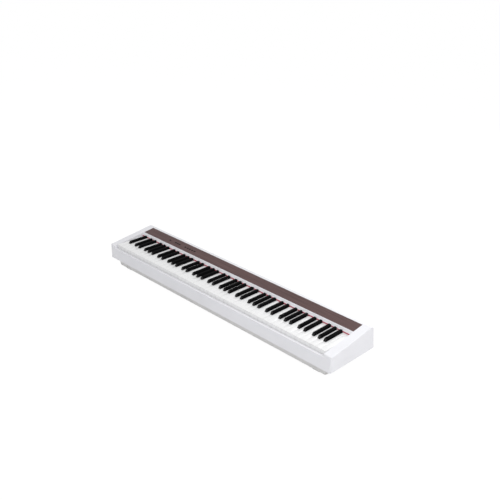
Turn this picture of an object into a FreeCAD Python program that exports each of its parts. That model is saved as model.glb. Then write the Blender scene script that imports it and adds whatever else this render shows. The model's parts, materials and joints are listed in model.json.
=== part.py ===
"""Slab digital piano with 88 keys: a parametric model in millimetres.

X runs along the keyboard to the treble, Y from the player to the rear, Z up.
The origin is under the middle of the body, on the surface that the feet stand on.
"""
import FreeCAD, Part
import math
import os
import Sketcher

Vector = FreeCAD.Vector
Rotation = FreeCAD.Rotation
Placement = FreeCAD.Placement

doc = FreeCAD.newDocument("slab_piano")

# ---------------------------------------------------------------- driving dimensions

driving = {
    # keyboard
    "keyPitch": 23.5,          # one natural to the next
    "keyGap": 1.0,             # air between two naturals
    "keyReach": 144.0,         # natural's front to the fallboard
    "pivotSet": 50.0,          # fallboard's foot to the pivot
    "tailOverhang": 8.0,       # tail behind the pivot
    "tailBlock": 30.0,         # solid tail ahead of the pivot
    "keyDepth": 15.0,          # height of a key's side walls
    "lipDepth": 20.0,          # height of a natural's front
    "keyWall": 1.8,
    "keyTop": 2.0,             # thickness of a natural's top
    "keyDip": 10.0,            # travel at a natural's front
    "headLength": 46.5,        # natural's front to a sharp's front
    "sharpSlot": 13.4,         # room for a sharp between two naturals
    "sharpClear": 0.9,         # air around a sharp
    "sharpRise": 10.5,         # sharp's top above the naturals
    "sharpNarrow": 0.8,        # sharp's top narrower than its base, each side
    "sharpSlope": 5.5,         # run of the sharp's sloping front
    "capClear": 3.5,           # sharp's cap ends short of the fallboard
    # body
    "rearRoom": 19.5,          # key bed's rear wall to the top's rear edge
    "cheekWidth": 35.0,
    "cheekGap": 2.0,           # last key to the cheek
    "railDepth": 10.5,         # front rail's top, front to back
    "railWall": 4.5,           # thickness of the front rail's wall
    "railLip": 4.0,            # thickness of the front rail's top
    "railGap": 1.5,            # front rail to the key fronts
    "railDrop": 17.5,          # front rail's top below the key tops
    "cheekDrop": 5.0,          # cheek's front top below the key tops
    "keyHeight": 112.0,        # natural's top above the surface
    "rimHeight": 42.0,         # upper case's lower rim above the surface
    "footHeight": 5.0,
    "topSlope": 7.6,           # degrees, the top rises to the rear
    "rearLean": 13.5,          # rear wall's foot stands this far behind its top
    "caseWall": 4.0,
    "frontWall": 6.0,          # front wall in the cheeks
    "innerWall": 3.0,          # cheek's wall beside the keys, and the fallboard's
    "fallboardLift": 5.0,      # fallboard's lower edge above the naturals
    "fallboardRun": 6.0,       # run of the fallboard's slope
    "frontCorner": 5.0,        # radius of the upright front corners
    "topEdge": 4.0,            # radius round the top
    "rearEdge": 15.0,          # radius of the top's rear edge
    "railEdge": 1.5,           # radius of the front rail's top edge
    "rimDepth": 7.0,           # lower case's flange lies this deep in the rim
    "fitGap": 0.3,             # clearance where one case piece fits in another
    "overcut": 1.0,            # a pocket starts this far outside what it cuts
    # top panel and its buttons
    "panelMargin": 1.5,        # land between the fallboard and the panel
    "rearLand": 21.0,          # panel to the top's rear edge
    "panelOverlap": 1.5,       # panel runs past the outer keys
    "panelThick": 3.0,
    "panelSink": 0.1,          # panel's surface below the case's
    "panelSeat": 2.5,          # case material under the panel
    "buttonWidth": 8.0,        # along the keyboard
    "buttonLength": 7.0,       # up the slope
    "buttonClear": 0.3,
    "buttonFlange": 1.0,       # retaining flange past the cap
    "buttonEdge": 0.5,         # chamfer round the cap's top
    "flangeDrop": 0.3,         # flange below the panel
    "buttonPlate": 0.7,        # thickness of the flange
    "buttonRise": 1.0,         # cap above the panel
    "buttonTravel": 1.0,
    "powerInset": 160.0,       # power button from the bass side of the keys
    "levelSet": 51.0,          # power button to the middle of the group of three
    "levelPitch": 13.0,
    "voiceSet": 85.0,          # group of three to the middle of the row of five
    "voicePitch": 15.4,
    "windowMargin": 2.0,       # window round the buttons' flanges
    "boardThick": 1.6,
    "boardMargin": 18.0,       # control board runs past the outer buttons
    "controlBoardWidth": 28.0,
    "switchWidth": 5.0,
    "switchClear": 0.15,       # pressed button to its switch dome's foot
    # lower case
    "flangeThick": 3.0,
    "tubInset": 26.0,          # tub's side inside the cheek's side
    "tubFront": 11.0,          # tub's front behind the fascia
    "tubRear": 18.0,           # tub's rear ahead of the rear foot
    "tubTaper": 15.0,          # degrees, tub's walls lean in
    "tubWall": 3.0,
    "tubCorner": 20.0,         # radius of the tub's upright corners, at their top
    "tubEdge": 5.0,            # height of the bevel round the tub's floor
    "tubEdgeSlope": 50.0,      # degrees, that bevel from upright
    # key bed
    "bedThick": 2.0,
    "bedDrop": 37.0,           # bed's top below the key tops
    "bedEnd": 1.0,             # bed runs past the outer keys
    "bedFront": 0.5,           # bed's front edge ahead of the key fronts
    "tailGap": 2.0,            # key tails to the bed's rear wall
    "legInset": 12.0,          # legs end short of the bed's ends
    "legFront": 34.0,          # front leg behind the key fronts
    "legLead": 24.0,           # rear leg ahead of the pivot
    "legFoot": 14.0,
    "contactLead": 120.0,      # front of the contact board's raised seat ahead of the pivot
    "swageWidth": 32.0,
    "swageRise": 8.0,
    "contactInset": 2.0,       # contact board inside its seat, front and rear
    "rodRadius": 2.0,
    "rodClear": 0.3,           # rod to the keys that rock on it
    "rodSeatWidth": 8.0,       # raised fold that the rod lies on
    "lugThick": 1.2,
    "lugReach": 6.0,           # lugs' sides from the rod's middle
    "pinDepth": 4.0,           # guide pins, along Y
    "pinFront": 12.0,          # naturals' guide pins behind the key fronts
    "pinWidth": 7.6,
    "sharpPinLead": 8.0,       # front of the sharps' guide pins ahead of that seat
    "sharpPinWidth": 4.5,
    "pinClear": 1.5,           # air over a pin when its key is down
    "springLead": 19.0,        # leaf spring's tip ahead of the pivot
    "springReach": 63.0,
    "springWidth": 5.0,
    "springThick": 0.8,
    "retainerThick": 1.2,
    "retainerLift": 1.0,       # retainer above the key tails
    "feltWidth": 6.6,          # stop felt under the key fronts
    "feltFront": 0.4,          # stop felt's front edge ahead of the key fronts
    "nameFeltProud": 1.2,      # red felt's front ahead of the fallboard's foot
    "nameFeltLift": 0.6,       # red felt above the naturals
    "rubberWidth": 18.0,
    "rubberSole": 1.2,
    # speakers, feet, screws, inserts
    "speakerInset": 192.0,     # speakers, feet and inserts lie this far inside the tub's sides
    "speakerLength": 120.0,
    "speakerWidth": 64.0,
    "speakerHeight": 42.0,
    "speakerPlate": 3.0,       # thickness of the driver's mounting plate
    "magnetRadius": 21.0,
    "magnetHeight": 16.0,
    "grilleSlot": 4.0,
    "grillePitch": 9.0,
    "footInset": 62.0,
    "footFront": 27.0,         # front feet behind the tub's front
    "footRear": 29.0,          # rear feet ahead of the tub's rear
    "footLength": 36.0,
    "footWidth": 18.0,
    "footDraft": 2.0,          # foot's underside smaller than its top, each side
    "insertInset": 122.0,
    "insertFront": 64.0,
    "insertRear": 73.0,
    "insertRadius": 3.0,
    "insertDepth": 9.0,
    "insertBoss": 12.0,
    "postWidth": 9.0,          # square posts for the case screws
    "postBite": 1.0,           # rear posts sink this far into the rear wall
    "mainBoardX": 10.0,
    "mainBoardLength": 180.0,
    "mainBoardWidth": 72.0,
    "standoffWidth": 6.0,
    "standoffHeight": 6.0,
    "standoffEnd": 10.0,       # standoffs' middles inside the main board's ends
    "standoffSide": 8.0,       # and inside its sides
    # connectors in the rear wall
    "jackX": -120.0,
    "jackDrop": 40.0,          # connectors' middle below the key tops
    "jackPlateWidth": 120.0,
    "jackPlateHeight": 24.0,
    "jackPlateThick": 2.5,
    "jackPlateSink": 0.5,      # plate's face inside the wall's outer face
    "phonesX": -42.0,          # connectors from the plate's middle
    "pedalX": -16.0,
    "usbX": 12.0,
    "dcX": 42.0,
    "jackBore": 3.25,
    "jackDepth": 16.0,
    "jackNose": 4.55,          # radius of a jack's nose in the plate
    "jackBlock": 13.0,
    "jackBlockDepth": 20.0,
    "portBlock": 11.0,         # height of the data port and of the inlet over their board
    "portBlockDepth": 14.0,
    "inletNose": 5.4,
    "inletWell": 3.2,
    "inletPin": 1.05,
    "inletDepth": 10.0,
    "usbWidth": 12.0,
    "usbHeight": 11.0,
    "usbWellWidth": 8.5,
    "usbWellHeight": 7.8,
    "usbTongueWidth": 5.6,
    "usbTongueHeight": 3.2,
    "usbDepth": 9.0,
    "jackBoardDrop": 7.0,      # jack board's top below the connectors' middle
    "jackBoardEnd": 12.0,      # jack board past the outer connectors' middles
    "jackBoardWidth": 28.0,
}

# sizes that follow from the ones above
following = {
    "pivotReach": "keyReach + pivotSet",
    "actionDepth": "pivotReach + tailOverhang + tailGap + bedThick",
    "bodyDepth": "railDepth + railGap + actionDepth + rearRoom + rearLean",
    "deckDepth": "bodyDepth - rearLean - railDepth - railGap - keyReach - fallboardRun",
    "panelDepth": "(deckDepth - panelMargin - rearLand) / cos(topSlope * 1deg)",
    "swageStart": "pivotReach - contactLead",
    "sharpPinFront": "swageStart - sharpPinLead",
    "springTip": "pivotReach - springLead",
    "springFoot": "springTip - springReach",
    "jackHeight": "keyHeight - jackDrop",
}

whites = 52
octaveWhites = 7

sheet = doc.addObject("Spreadsheet::Sheet", "sizes")
for row, (alias, value) in enumerate([*driving.items(), *following.items()], start=1):
    sheet.set(f"A{row}", alias)
    sheet.set(f"B{row}", f"={value}")
    sheet.setAlias(f"B{row}", alias)
    doc.recompute()


def number(expression):
    """Value of an expression on the sheet."""
    return float(sheet.evalExpression(str(expression)))


# ---------------------------------------------------------------- places worked out from them

frontY = "(-sizes.bodyDepth / 2)"
rearY = "(sizes.bodyDepth / 2)"
keyY = f"({frontY} + sizes.railDepth + sizes.railGap)"
halfKeys = f"({whites} * sizes.keyPitch / 2)"
wellHalf = f"({halfKeys} + sizes.cheekGap)"
halfWidth = f"({wellHalf} + sizes.cheekWidth)"
cheekTop = "(sizes.keyHeight - sizes.cheekDrop)"
ceiling = "(sizes.panelThick + sizes.panelSeat)"
rearTopY = f"({rearY} - sizes.rearLean)"


def topAt(y):
    """Height of the sloping top at a place along Y."""
    return f"({cheekTop} + ({y} - {frontY}) * tan(sizes.topSlope))"


rearTopZ = topAt(rearTopY)
leanRatio = f"(sizes.rearLean / ({rearTopZ} - sizes.rimHeight))"


def rearAt(z):
    """Rear wall's outer face at a height."""
    return f"({rearY} - ({z} - sizes.rimHeight) * {leanRatio})"


flangeTop = "(sizes.rimHeight + sizes.rimDepth)"
flangeBottom = f"({flangeTop} - sizes.flangeThick)"
floorTop = "(sizes.footHeight + sizes.tubWall)"
fallY = f"({keyY} + sizes.keyReach)"
fallTopY = f"({fallY} + sizes.fallboardRun)"
panelY = f"({fallTopY} + sizes.panelMargin)"
pivotY = f"({keyY} + sizes.pivotReach)"
pivotZ = "(sizes.keyHeight - sizes.keyDepth - sizes.rodClear - sizes.rodRadius)"
bedTop = "(sizes.keyHeight - sizes.bedDrop)"
bedBottom = f"({bedTop} - sizes.bedThick)"
bedHalf = f"({halfKeys} + sizes.bedEnd)"
bedRearY = f"({pivotY} + sizes.tailOverhang + sizes.tailGap)"
bedWallTop = "(sizes.keyHeight + sizes.retainerLift)"
contactFront = f"({keyY} + sizes.swageStart)"
contactSeat = f"({bedTop} + sizes.swageRise)"
tailLength = "(sizes.pivotReach + sizes.tailOverhang)"
hollowEnd = "(sizes.pivotReach - sizes.tailBlock)"
dipAngle = "asin(sizes.keyDip / sizes.pivotReach)"


# ---------------------------------------------------------------- ways of working

def newBody(label):
    body = doc.addObject("PartDesign::Body", label)
    body.Label = label
    return body


def originPlane(body, role):
    return next(f for f in body.Origin.OriginFeatures if f.Role == role)


def sketchOn(body, name, role, offset="0"):
    """A sketch on one of the body's own origin planes, moved along the plane's normal."""
    sketch = body.newObject("Sketcher::SketchObject", name)
    sketch.AttachmentSupport = (originPlane(body, role), "")
    sketch.MapMode = "FlatFace"
    sketch.setExpression("AttachmentOffset.Base.z", offset)
    return sketch


def sketchOnTop(body, name):
    """A sketch lying in the sloping top, with its origin on the top's front edge."""
    sketch = sketchOn(body, name, "XY_Plane", cheekTop)
    slope = number("sizes.topSlope")
    sketch.AttachmentOffset = Placement(Vector(0, 0, 0), Rotation(Vector(1, 0, 0), slope))
    sketch.setExpression("AttachmentOffset.Base.y", frontY)
    sketch.setExpression("AttachmentOffset.Base.z", cheekTop)
    sketch.setExpression("AttachmentOffset.Rotation.Angle", "sizes.topSlope")
    return sketch


def alongTop(y):
    """Distance from the top's front edge to a place along Y, measured in the sloping top."""
    return f"(({y} - {frontY}) / cos(sizes.topSlope))"


def outline(sketch, points):
    """A closed outline through points given as pairs of expressions."""
    places = [Vector(number(x), number(y), 0) for x, y in points]
    count = len(points)
    first = sketch.GeometryCount
    lines = [Part.LineSegment(places[i], places[(i + 1) % count]) for i in range(count)]
    sketch.addGeometry(lines, False)
    rules = [
        Sketcher.Constraint("Coincident", first + i, 2, first + (i + 1) % count, 1)
        for i in range(count)
    ]
    sketch.addConstraint(rules)
    for i, (x, y) in enumerate(points):
        bind(sketch, Sketcher.Constraint("DistanceX", -1, 1, first + i, 1, places[i].x), x)
        bind(sketch, Sketcher.Constraint("DistanceY", -1, 1, first + i, 1, places[i].y), y)


def rectangle(sketch, left, front, right, rear):
    outline(sketch, [(left, front), (right, front), (right, rear), (left, rear)])


def square(sketch, x, y, width):
    half = f"{width} / 2"
    rectangle(sketch, f"{x} - {half}", f"{y} - {half}", f"{x} + {half}", f"{y} + {half}")


def roundedRectangle(sketch, halfX, front, rear, radius):
    """A rectangle centred on the Y axis with round corners."""
    inX = f"({halfX} - {radius})"
    inFront = f"({front} + {radius})"
    inRear = f"({rear} - {radius})"
    corners = [
        [(f"-{inX}", front), (inX, front)],
        [(halfX, inFront), (halfX, inRear)],
        [(inX, rear), (f"-{inX}", rear)],
        [(f"-{halfX}", inRear), (f"-{halfX}", inFront)],
    ]
    spots = [[Vector(number(x), number(y), 0) for x, y in side] for side in corners]
    sides = [sketch.addGeometry(Part.LineSegment(*ends), False) for ends in spots]
    for i, ends in enumerate(corners):
        for point, (x, y) in enumerate(ends, start=1):
            spot = spots[i][point - 1]
            bind(sketch, Sketcher.Constraint("DistanceX", -1, 1, sides[i], point, spot.x), x)
            bind(sketch, Sketcher.Constraint("DistanceY", -1, 1, sides[i], point, spot.y), y)
    centres = [(inX, inFront), (inX, inRear), (f"-{inX}", inRear), (f"-{inX}", inFront)]
    for i, (x, y) in enumerate(centres):
        centre = Vector(number(x), number(y), 0)
        turn = Part.Circle(centre, Vector(0, 0, 1), number(radius))
        start = math.radians(90 * (i - 1))
        arc = sketch.addGeometry(Part.ArcOfCircle(turn, start, start + math.pi / 2), False)
        sketch.addConstraint(Sketcher.Constraint("Coincident", sides[i], 2, arc, 1))
        sketch.addConstraint(Sketcher.Constraint("Coincident", arc, 2, sides[(i + 1) % 4], 1))
        bind(sketch, Sketcher.Constraint("Radius", arc, number(radius)), radius)


def circle(sketch, x, y, radius):
    centre = Vector(number(x), number(y), 0)
    index = sketch.addGeometry(Part.Circle(centre, Vector(0, 0, 1), number(radius)), False)
    bind(sketch, Sketcher.Constraint("DistanceX", -1, 1, index, 3, centre.x), x)
    bind(sketch, Sketcher.Constraint("DistanceY", -1, 1, index, 3, centre.y), y)
    bind(sketch, Sketcher.Constraint("Radius", index, number(radius)), radius)


def bind(sketch, constraint, expression):
    index = sketch.addConstraint(constraint)
    sketch.setExpression(f"Constraints[{index}]", str(expression))


def extrude(body, kind, name, sketch, length, side="One side", reverse=False, taper=None):
    """A Pad or Pocket of a sketch. A pocket runs against the sketch's normal unless reversed."""
    feature = body.newObject(f"PartDesign::{kind}", name)
    feature.Profile = sketch
    feature.SideType = side
    feature.Reversed = reverse
    feature.setExpression("Length", str(length))
    if taper:
        feature.setExpression("TaperAngle", taper)
    sketch.Visibility = False
    return feature


def wedge(body, kind, name, bottom, top, low, high):
    """A four-sided frustum: bottom and top are (left, front, right, rear) at heights low and high.

    The wedge hangs on the XZ plane, so its own Y is the height and its own Z points to the front.
    """
    feature = body.newObject(f"PartDesign::{kind}", name)
    feature.AttachmentSupport = (originPlane(body, "XZ_Plane"), "")
    feature.MapMode = "FlatFace"
    feature.setExpression("Ymin", low)
    feature.setExpression("Ymax", high)
    for level, (left, front, right, rear) in (("", bottom), ("2", top)):
        feature.setExpression(f"X{level}min", left)
        feature.setExpression(f"X{level}max", right)
        feature.setExpression(f"Z{level}min", f"-({rear})")
        feature.setExpression(f"Z{level}max", f"-({front})")
    return feature


def edgesWhere(feature, test):
    doc.recompute()
    return [f"Edge{i}" for i, e in enumerate(feature.Shape.Edges, start=1) if test(e)]


def fillet(body, name, base, radius, test):
    feature = body.newObject("PartDesign::Fillet", name)
    feature.Base = (base, edgesWhere(base, test))
    feature.setExpression("Radius", radius)
    return feature


def near(value, expression):
    return abs(value - number(expression)) < 0.01


def alongX(edge, y, z):
    """True for an edge that runs along X at that place in the YZ plane."""
    box = edge.BoundBox
    level = box.YLength < 0.01 and box.ZLength < 0.01
    return level and near(box.YMin, y) and near(box.ZMin, z)


def place(item, x="0", y="0", z="0", tilt=None):
    """Puts a sub-part in its place; tilt turns it about X, in degrees."""
    if tilt:
        item.Placement = Placement(Vector(0, 0, 0), Rotation(Vector(1, 0, 0), number(tilt)))
        item.setExpression("Placement.Rotation.Angle", tilt)
    item.setExpression("Placement.Base.x", x)
    item.setExpression("Placement.Base.y", y)
    item.setExpression("Placement.Base.z", z)
    return item


def box(label, left, front, bottom, right, rear, top):
    """A plain block between two corners."""
    block = doc.addObject("Part::Box", label)
    block.setExpression("Length", f"({right}) - ({left})")
    block.setExpression("Width", f"({rear}) - ({front})")
    block.setExpression("Height", f"({top}) - ({bottom})")
    return place(block, left, front, bottom)


subParts = []


def keep(item):
    """Adds a finished sub-part to the set that is written out."""
    subParts.append(item)
    return item


def copies(label, places):
    """One node that holds a copy of a template at each place: (template, x, y, z)."""
    links = []
    for index, (template, x, y, z) in enumerate(places, start=1):
        link = doc.addObject("App::Link", f"{label}_copy_{index}")
        link.LinkedObject = template
        link.LinkTransform = True
        links.append(place(link, x, y, z))
    group = doc.addObject("Part::Compound", label)
    group.Links = links
    return keep(group)


# ---------------------------------------------------------------- keys

# Middles of the sharps, in key pitches from the left side of their octave's C.
# Five equal tails share the three naturals C to E, seven share the four F to B.
lowTail = 3 / 5
highTail = 4 / 7
sharpPlaces = {
    1: 1.5 * lowTail,
    2: 3.5 * lowTail,
    4: 3 + 1.5 * highTail,
    5: 3 + 3.5 * highTail,
    6: 3 + 5.5 * highTail,
}
naturalNames = "cdefgab"
sharpNames = {1: "c_sharp", 2: "d_sharp", 4: "f_sharp", 5: "g_sharp", 6: "a_sharp"}


def tailSide(boundary, natural, side):
    """Side of a natural's tail next to a sharp, from the natural's own left side."""
    middle = f"{sharpPlaces[boundary] - natural} * sizes.keyPitch"
    return f"({middle} + {side} * sizes.sharpSlot / 2)"


def naturalKey(label, natural, cutLeft=True, cutRight=True):
    """A natural: its head with a deep front, and the tail between its sharps, hollow from below."""
    body = newBody(label)
    headLeft = "sizes.keyGap / 2"
    headRight = "sizes.keyPitch - sizes.keyGap / 2"
    cutLeft = cutLeft and natural in sharpPlaces
    cutRight = cutRight and natural + 1 in sharpPlaces
    tailLeft = tailSide(natural, natural, "+1") if cutLeft else f"({headLeft})"
    tailRight = tailSide(natural + 1, natural, "-1") if cutRight else f"({headRight})"
    headEnd = "sizes.headLength - sizes.sharpClear"

    rightSide = [(headRight, headEnd), (tailRight, headEnd)] if cutRight else []
    leftSide = [(tailLeft, headEnd), (headLeft, headEnd)] if cutLeft else []
    plan = [
        (headLeft, "0"),
        (headRight, "0"),
        *rightSide,
        (tailRight, tailLength),
        (tailLeft, tailLength),
        *leftSide,
    ]
    sketch = sketchOn(body, label + "_plan", "XY_Plane")
    outline(sketch, plan)
    extrude(body, "Pad", label + "_block", sketch, "sizes.keyDepth", reverse=True)

    lip = sketchOn(body, label + "_lip_plan", "XY_Plane")
    rectangle(lip, headLeft, "0", headRight, "sizes.keyWall")
    extrude(body, "Pad", label + "_lip", lip, "sizes.lipDepth", reverse=True)

    hollow = sketchOn(body, label + "_hollow_plan", "XY_Plane", "-sizes.keyTop")
    left = f"{tailLeft} + sizes.keyWall"
    right = f"{tailRight} - sizes.keyWall"
    rectangle(hollow, left, "sizes.keyWall", right, hollowEnd)
    extrude(body, "Pocket", label + "_hollow", hollow, "sizes.lipDepth")
    return body


def sharpKey(label):
    """A sharp: a tapered cap on a hollow stem that runs back over the pivot rod."""
    body = newBody(label)
    halfBase = "(sizes.sharpSlot / 2 - sizes.sharpClear)"
    halfTop = f"({halfBase} - sizes.sharpNarrow)"
    capEnd = "(sizes.keyReach - sizes.capClear)"

    sketch = sketchOn(body, label + "_plan", "XY_Plane")
    rectangle(sketch, f"-{halfBase}", "sizes.headLength", halfBase, tailLength)
    extrude(body, "Pad", label + "_stem", sketch, "sizes.keyDepth", reverse=True)

    capFoot = (f"-{halfBase}", "sizes.headLength", halfBase, capEnd)
    capCrown = (f"-{halfTop}", "sizes.headLength + sizes.sharpSlope", halfTop, capEnd)
    wedge(body, "AdditiveWedge", label + "_cap", capFoot, capCrown, "0", "sizes.sharpRise")

    halfHollow = f"({halfBase} - sizes.keyWall)"
    hollow = sketchOn(body, label + "_hollow_plan", "XY_Plane", "-sizes.keyTop")
    front = "sizes.headLength + sizes.keyWall"
    rectangle(hollow, f"-{halfHollow}", front, halfHollow, hollowEnd)
    extrude(body, "Pocket", label + "_hollow", hollow, "sizes.keyDepth")
    return body


def whiteX(index):
    """Left side of a natural, counted from the lowest one."""
    return f"(-{halfKeys} + {index} * sizes.keyPitch)"


def keys():
    """All 88 keys. The middle octave's keys are nodes of their own, the others go by octave."""
    templates = {name: naturalKey(f"natural_{name}", i) for i, name in enumerate(naturalNames)}
    lowest = naturalKey("natural_lowest", naturalNames.index("a"), cutLeft=False)
    highest = naturalKey("natural_highest", 0, cutLeft=False, cutRight=False)
    sharp = sharpKey("sharp_key")
    middleOctave = 4
    lastOctave = 7
    for octave in range(lastOctave + 1):
        firstWhite = octave * octaveWhites - 5
        naturals = []
        sharps = []
        for step, name in enumerate(naturalNames):
            white = firstWhite + step
            if white < 0:
                continue
            template = lowest if white == 0 else templates[name]
            naturals.append((name, (template, whiteX(white), keyY, "sizes.keyHeight")))
            boundary = step + 1
            if boundary in sharpPlaces:
                x = whiteX(firstWhite + sharpPlaces[boundary])
                spot = (sharp, x, keyY, "sizes.keyHeight")
                sharps.append((sharpNames[boundary], spot))
        if octave == lastOctave:
            top = (highest, whiteX(whites - 1), keyY, "sizes.keyHeight")
            naturals.append(("c", top))
        if octave == middleOctave:
            for name, spot in naturals + sharps:
                copies(f"key_{name}_{octave}", [spot])
        else:
            copies(f"naturals_octave_{octave}", [spot for name, spot in naturals])
            copies(f"sharps_octave_{octave}", [spot for name, spot in sharps])


# ---------------------------------------------------------------- upper case

def upperCase():
    """The white moulding: cheeks, front rail, fallboard and rear deck in one shell."""
    body = newBody("upper_case")
    low = "(sizes.rimHeight - sizes.overcut)"
    high = f"({rearTopZ} + 10 * sizes.overcut)"
    ahead = f"({frontY} - sizes.overcut)"

    side = sketchOn(body, "case_side", "YZ_Plane")
    outline(side, [
        (frontY, "sizes.rimHeight"),
        (rearY, "sizes.rimHeight"),
        (rearTopY, rearTopZ),
        (frontY, cheekTop),
    ])
    block = extrude(body, "Pad", "case_block", side, f"2 * {halfWidth}", "Symmetric")
    rear = fillet(
        body, "case_rear_edge", block, "sizes.rearEdge",
        lambda e: alongX(e, rearTopY, rearTopZ),
    )

    def frontUpright(edge):
        line = edge.BoundBox
        return line.XLength < 0.01 and line.YLength < 0.01 and near(line.YMin, frontY)

    corners = fillet(body, "case_front_corners", rear, "sizes.frontCorner", frontUpright)
    fillet(
        body, "case_top_edge", corners, "sizes.topEdge",
        lambda e: alongX(e, frontY, cheekTop),
    )

    # opening for the keys: over the rail, down to the rim, and under the fallboard
    railTop = "(sizes.keyHeight - sizes.railDrop)"
    railRear = f"({frontY} + sizes.railDepth)"
    railInner = f"({frontY} + sizes.railWall)"
    fallInner = f"({fallY} + sizes.innerWall)"
    fallFoot = "(sizes.keyHeight + sizes.fallboardLift)"
    well = sketchOn(body, "key_well_side", "YZ_Plane")
    outline(well, [
        (ahead, railTop),
        (railRear, railTop),
        (railRear, f"{railTop} - sizes.railLip"),
        (railInner, f"{railTop} - sizes.railLip"),
        (railInner, low),
        (fallInner, low),
        (fallInner, fallFoot),
        (fallY, fallFoot),
        (fallTopY, topAt(fallTopY)),
        (fallTopY, high),
        (ahead, high),
    ])
    wellCut = extrude(body, "Pocket", "key_well", well, f"2 * {wellHalf}", "Symmetric")
    fillet(
        body, "rail_edge", wellCut, "sizes.railEdge",
        lambda e: alongX(e, frontY, railTop),
    )

    # hollows: one behind the fallboard over the whole width, one in each cheek
    innerTop = f"({rearTopY} - sizes.caseWall - sizes.rearEdge / 2)"
    shoulder = f"({rearTopZ} - sizes.rearEdge)"
    rearInner = [
        (f"{rearAt(low)} - sizes.caseWall", low),
        (f"{rearAt(shoulder)} - sizes.caseWall", shoulder),
        (innerTop, f"{topAt(innerTop)} - {ceiling}"),
    ]
    rearHollow = sketchOn(body, "rear_hollow_side", "YZ_Plane")
    slopeTop = f"({fallTopY} + sizes.innerWall)"
    outline(rearHollow, [
        (fallInner, low),
        *rearInner,
        (slopeTop, f"{topAt(slopeTop)} - {ceiling}"),
        (fallInner, fallFoot),
    ])
    hollowWidth = f"2 * ({halfWidth} - sizes.caseWall)"
    extrude(body, "Pocket", "rear_hollow", rearHollow, hollowWidth, "Symmetric")

    cheekInner = f"({wellHalf} + sizes.innerWall)"
    cheekFront = f"({frontY} + sizes.frontWall)"
    cheek = sketchOn(body, "cheek_hollow_side", "YZ_Plane", cheekInner)
    outline(cheek, [
        (cheekFront, low),
        *rearInner,
        (cheekFront, f"{topAt(cheekFront)} - {ceiling}"),
    ])
    cheekDepth = f"{halfWidth} - sizes.caseWall - {cheekInner}"
    cheekCut = extrude(body, "Pocket", "cheek_hollow", cheek, cheekDepth, reverse=True)
    mirror = body.newObject("PartDesign::Mirrored", "cheek_hollows")
    mirror.Originals = [cheekCut]
    mirror.MirrorPlane = (originPlane(body, "YZ_Plane"), [""])
    body.Tip = mirror

    # seat for the lower case's flange, cut up into the rim
    rim = sketchOn(body, "rim_seat_plan", "XY_Plane", "sizes.rimHeight")
    rimSide = f"({halfWidth} - sizes.caseWall)"
    rimRear = f"{rearAt(flangeTop)} - sizes.caseWall"
    rectangle(rim, f"-{rimSide}", cheekFront, rimSide, rimRear)
    extrude(body, "Pocket", "rim_seat", rim, "sizes.rimDepth", reverse=True)

    # posts for the case screws
    for index, y in enumerate(cheekPostYs()):
        plan = sketchOn(body, f"post_plan_{index}", "XY_Plane", flangeTop)
        for side in ("-", ""):
            square(plan, f"{side}{cheekPostX}", y, "sizes.postWidth")
        extrude(body, "Pad", f"posts_{index}", plan, f"{topAt(y)} - sizes.panelThick - {flangeTop}")
    plan = sketchOn(body, "rear_post_plan", "XY_Plane", flangeTop)
    for share in ("-0.8", "-0.35", "0.35", "0.8"):
        square(plan, f"{share} * {halfWidth}", rearPostY, "sizes.postWidth")
    extrude(body, "Pad", "rear_posts", plan, "3 * sizes.postWidth")

    # recess for the top panel, and the window under its buttons
    recess = sketchOnTop(body, "panel_recess_plan")
    panelHalf = f"({halfKeys} + sizes.panelOverlap)"
    rectangle(
        recess,
        f"-{panelHalf}",
        alongTop(panelY),
        panelHalf,
        f"{alongTop(panelY)} + sizes.panelDepth",
    )
    extrude(body, "Pocket", "panel_recess", recess, "sizes.panelThick")
    window = sketchOnTop(body, "button_window_plan")
    reach = "(sizes.buttonWidth / 2 + sizes.buttonFlange + sizes.windowMargin)"
    rectangle(
        window,
        f"{powerX} - {reach}",
        f"{buttonLine} - {reach}",
        f"{lastButtonX} + {reach}",
        f"{buttonLine} + {reach}",
    )
    extrude(body, "Pocket", "button_window", window, f"{ceiling} + sizes.overcut")

    # opening for the jack plate in the rear wall
    jacks = sketchOn(body, "jack_opening_face", "XZ_Plane", f"-{rearTopY} + 2 * sizes.caseWall")
    halfPlate = "(sizes.jackPlateWidth / 2 + sizes.fitGap)"
    rectangle(
        jacks,
        f"sizes.jackX - {halfPlate}",
        "sizes.jackHeight - sizes.jackPlateHeight / 2 - 2 * sizes.fitGap",
        f"sizes.jackX + {halfPlate}",
        "sizes.jackHeight + sizes.jackPlateHeight / 2 + 2 * sizes.fitGap",
    )
    extrude(body, "Pocket", "jack_opening", jacks, "sizes.bodyDepth / 4")
    return keep(body)


cheekHollow = "(sizes.cheekWidth - sizes.innerWall - sizes.caseWall)"
cheekPostX = f"({wellHalf} + sizes.innerWall + {cheekHollow} / 2)"
rearPostY = f"({rearAt(flangeTop)} - sizes.caseWall - sizes.postWidth / 2 + sizes.postBite)"
buttonLine = f"({alongTop(panelY)} + sizes.panelDepth / 2)"
powerX = f"(-{halfKeys} + sizes.powerInset)"
levelX = f"({powerX} + sizes.levelSet)"
voiceX = f"({levelX} + sizes.voiceSet)"
lastButtonX = f"({voiceX} + 2 * sizes.voicePitch)"


def cheekPostYs():
    return [f"{share} * sizes.bodyDepth" for share in ("-0.4", "0", "0.33")]


# ---------------------------------------------------------------- lower case and what it stands on

tubSide = f"({halfWidth} - sizes.tubInset)"
tubFrontY = f"({frontY} + sizes.tubFront)"
tubRearY = f"({rearY} - sizes.tubRear)"
speakerX = f"({tubSide} - sizes.speakerInset)"
speakerY = f"(({tubFrontY} + {tubRearY}) / 2)"


def fourPlaces(inset, front, rear):
    """Two places on each side of the tub: inset from its sides, front and rear."""
    ys = [f"({tubFrontY} + {front})", f"({tubRearY} - {rear})"]
    return [(f"{sign}({tubSide} - {inset})", y) for y in ys for sign in ("-", "")]


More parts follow.
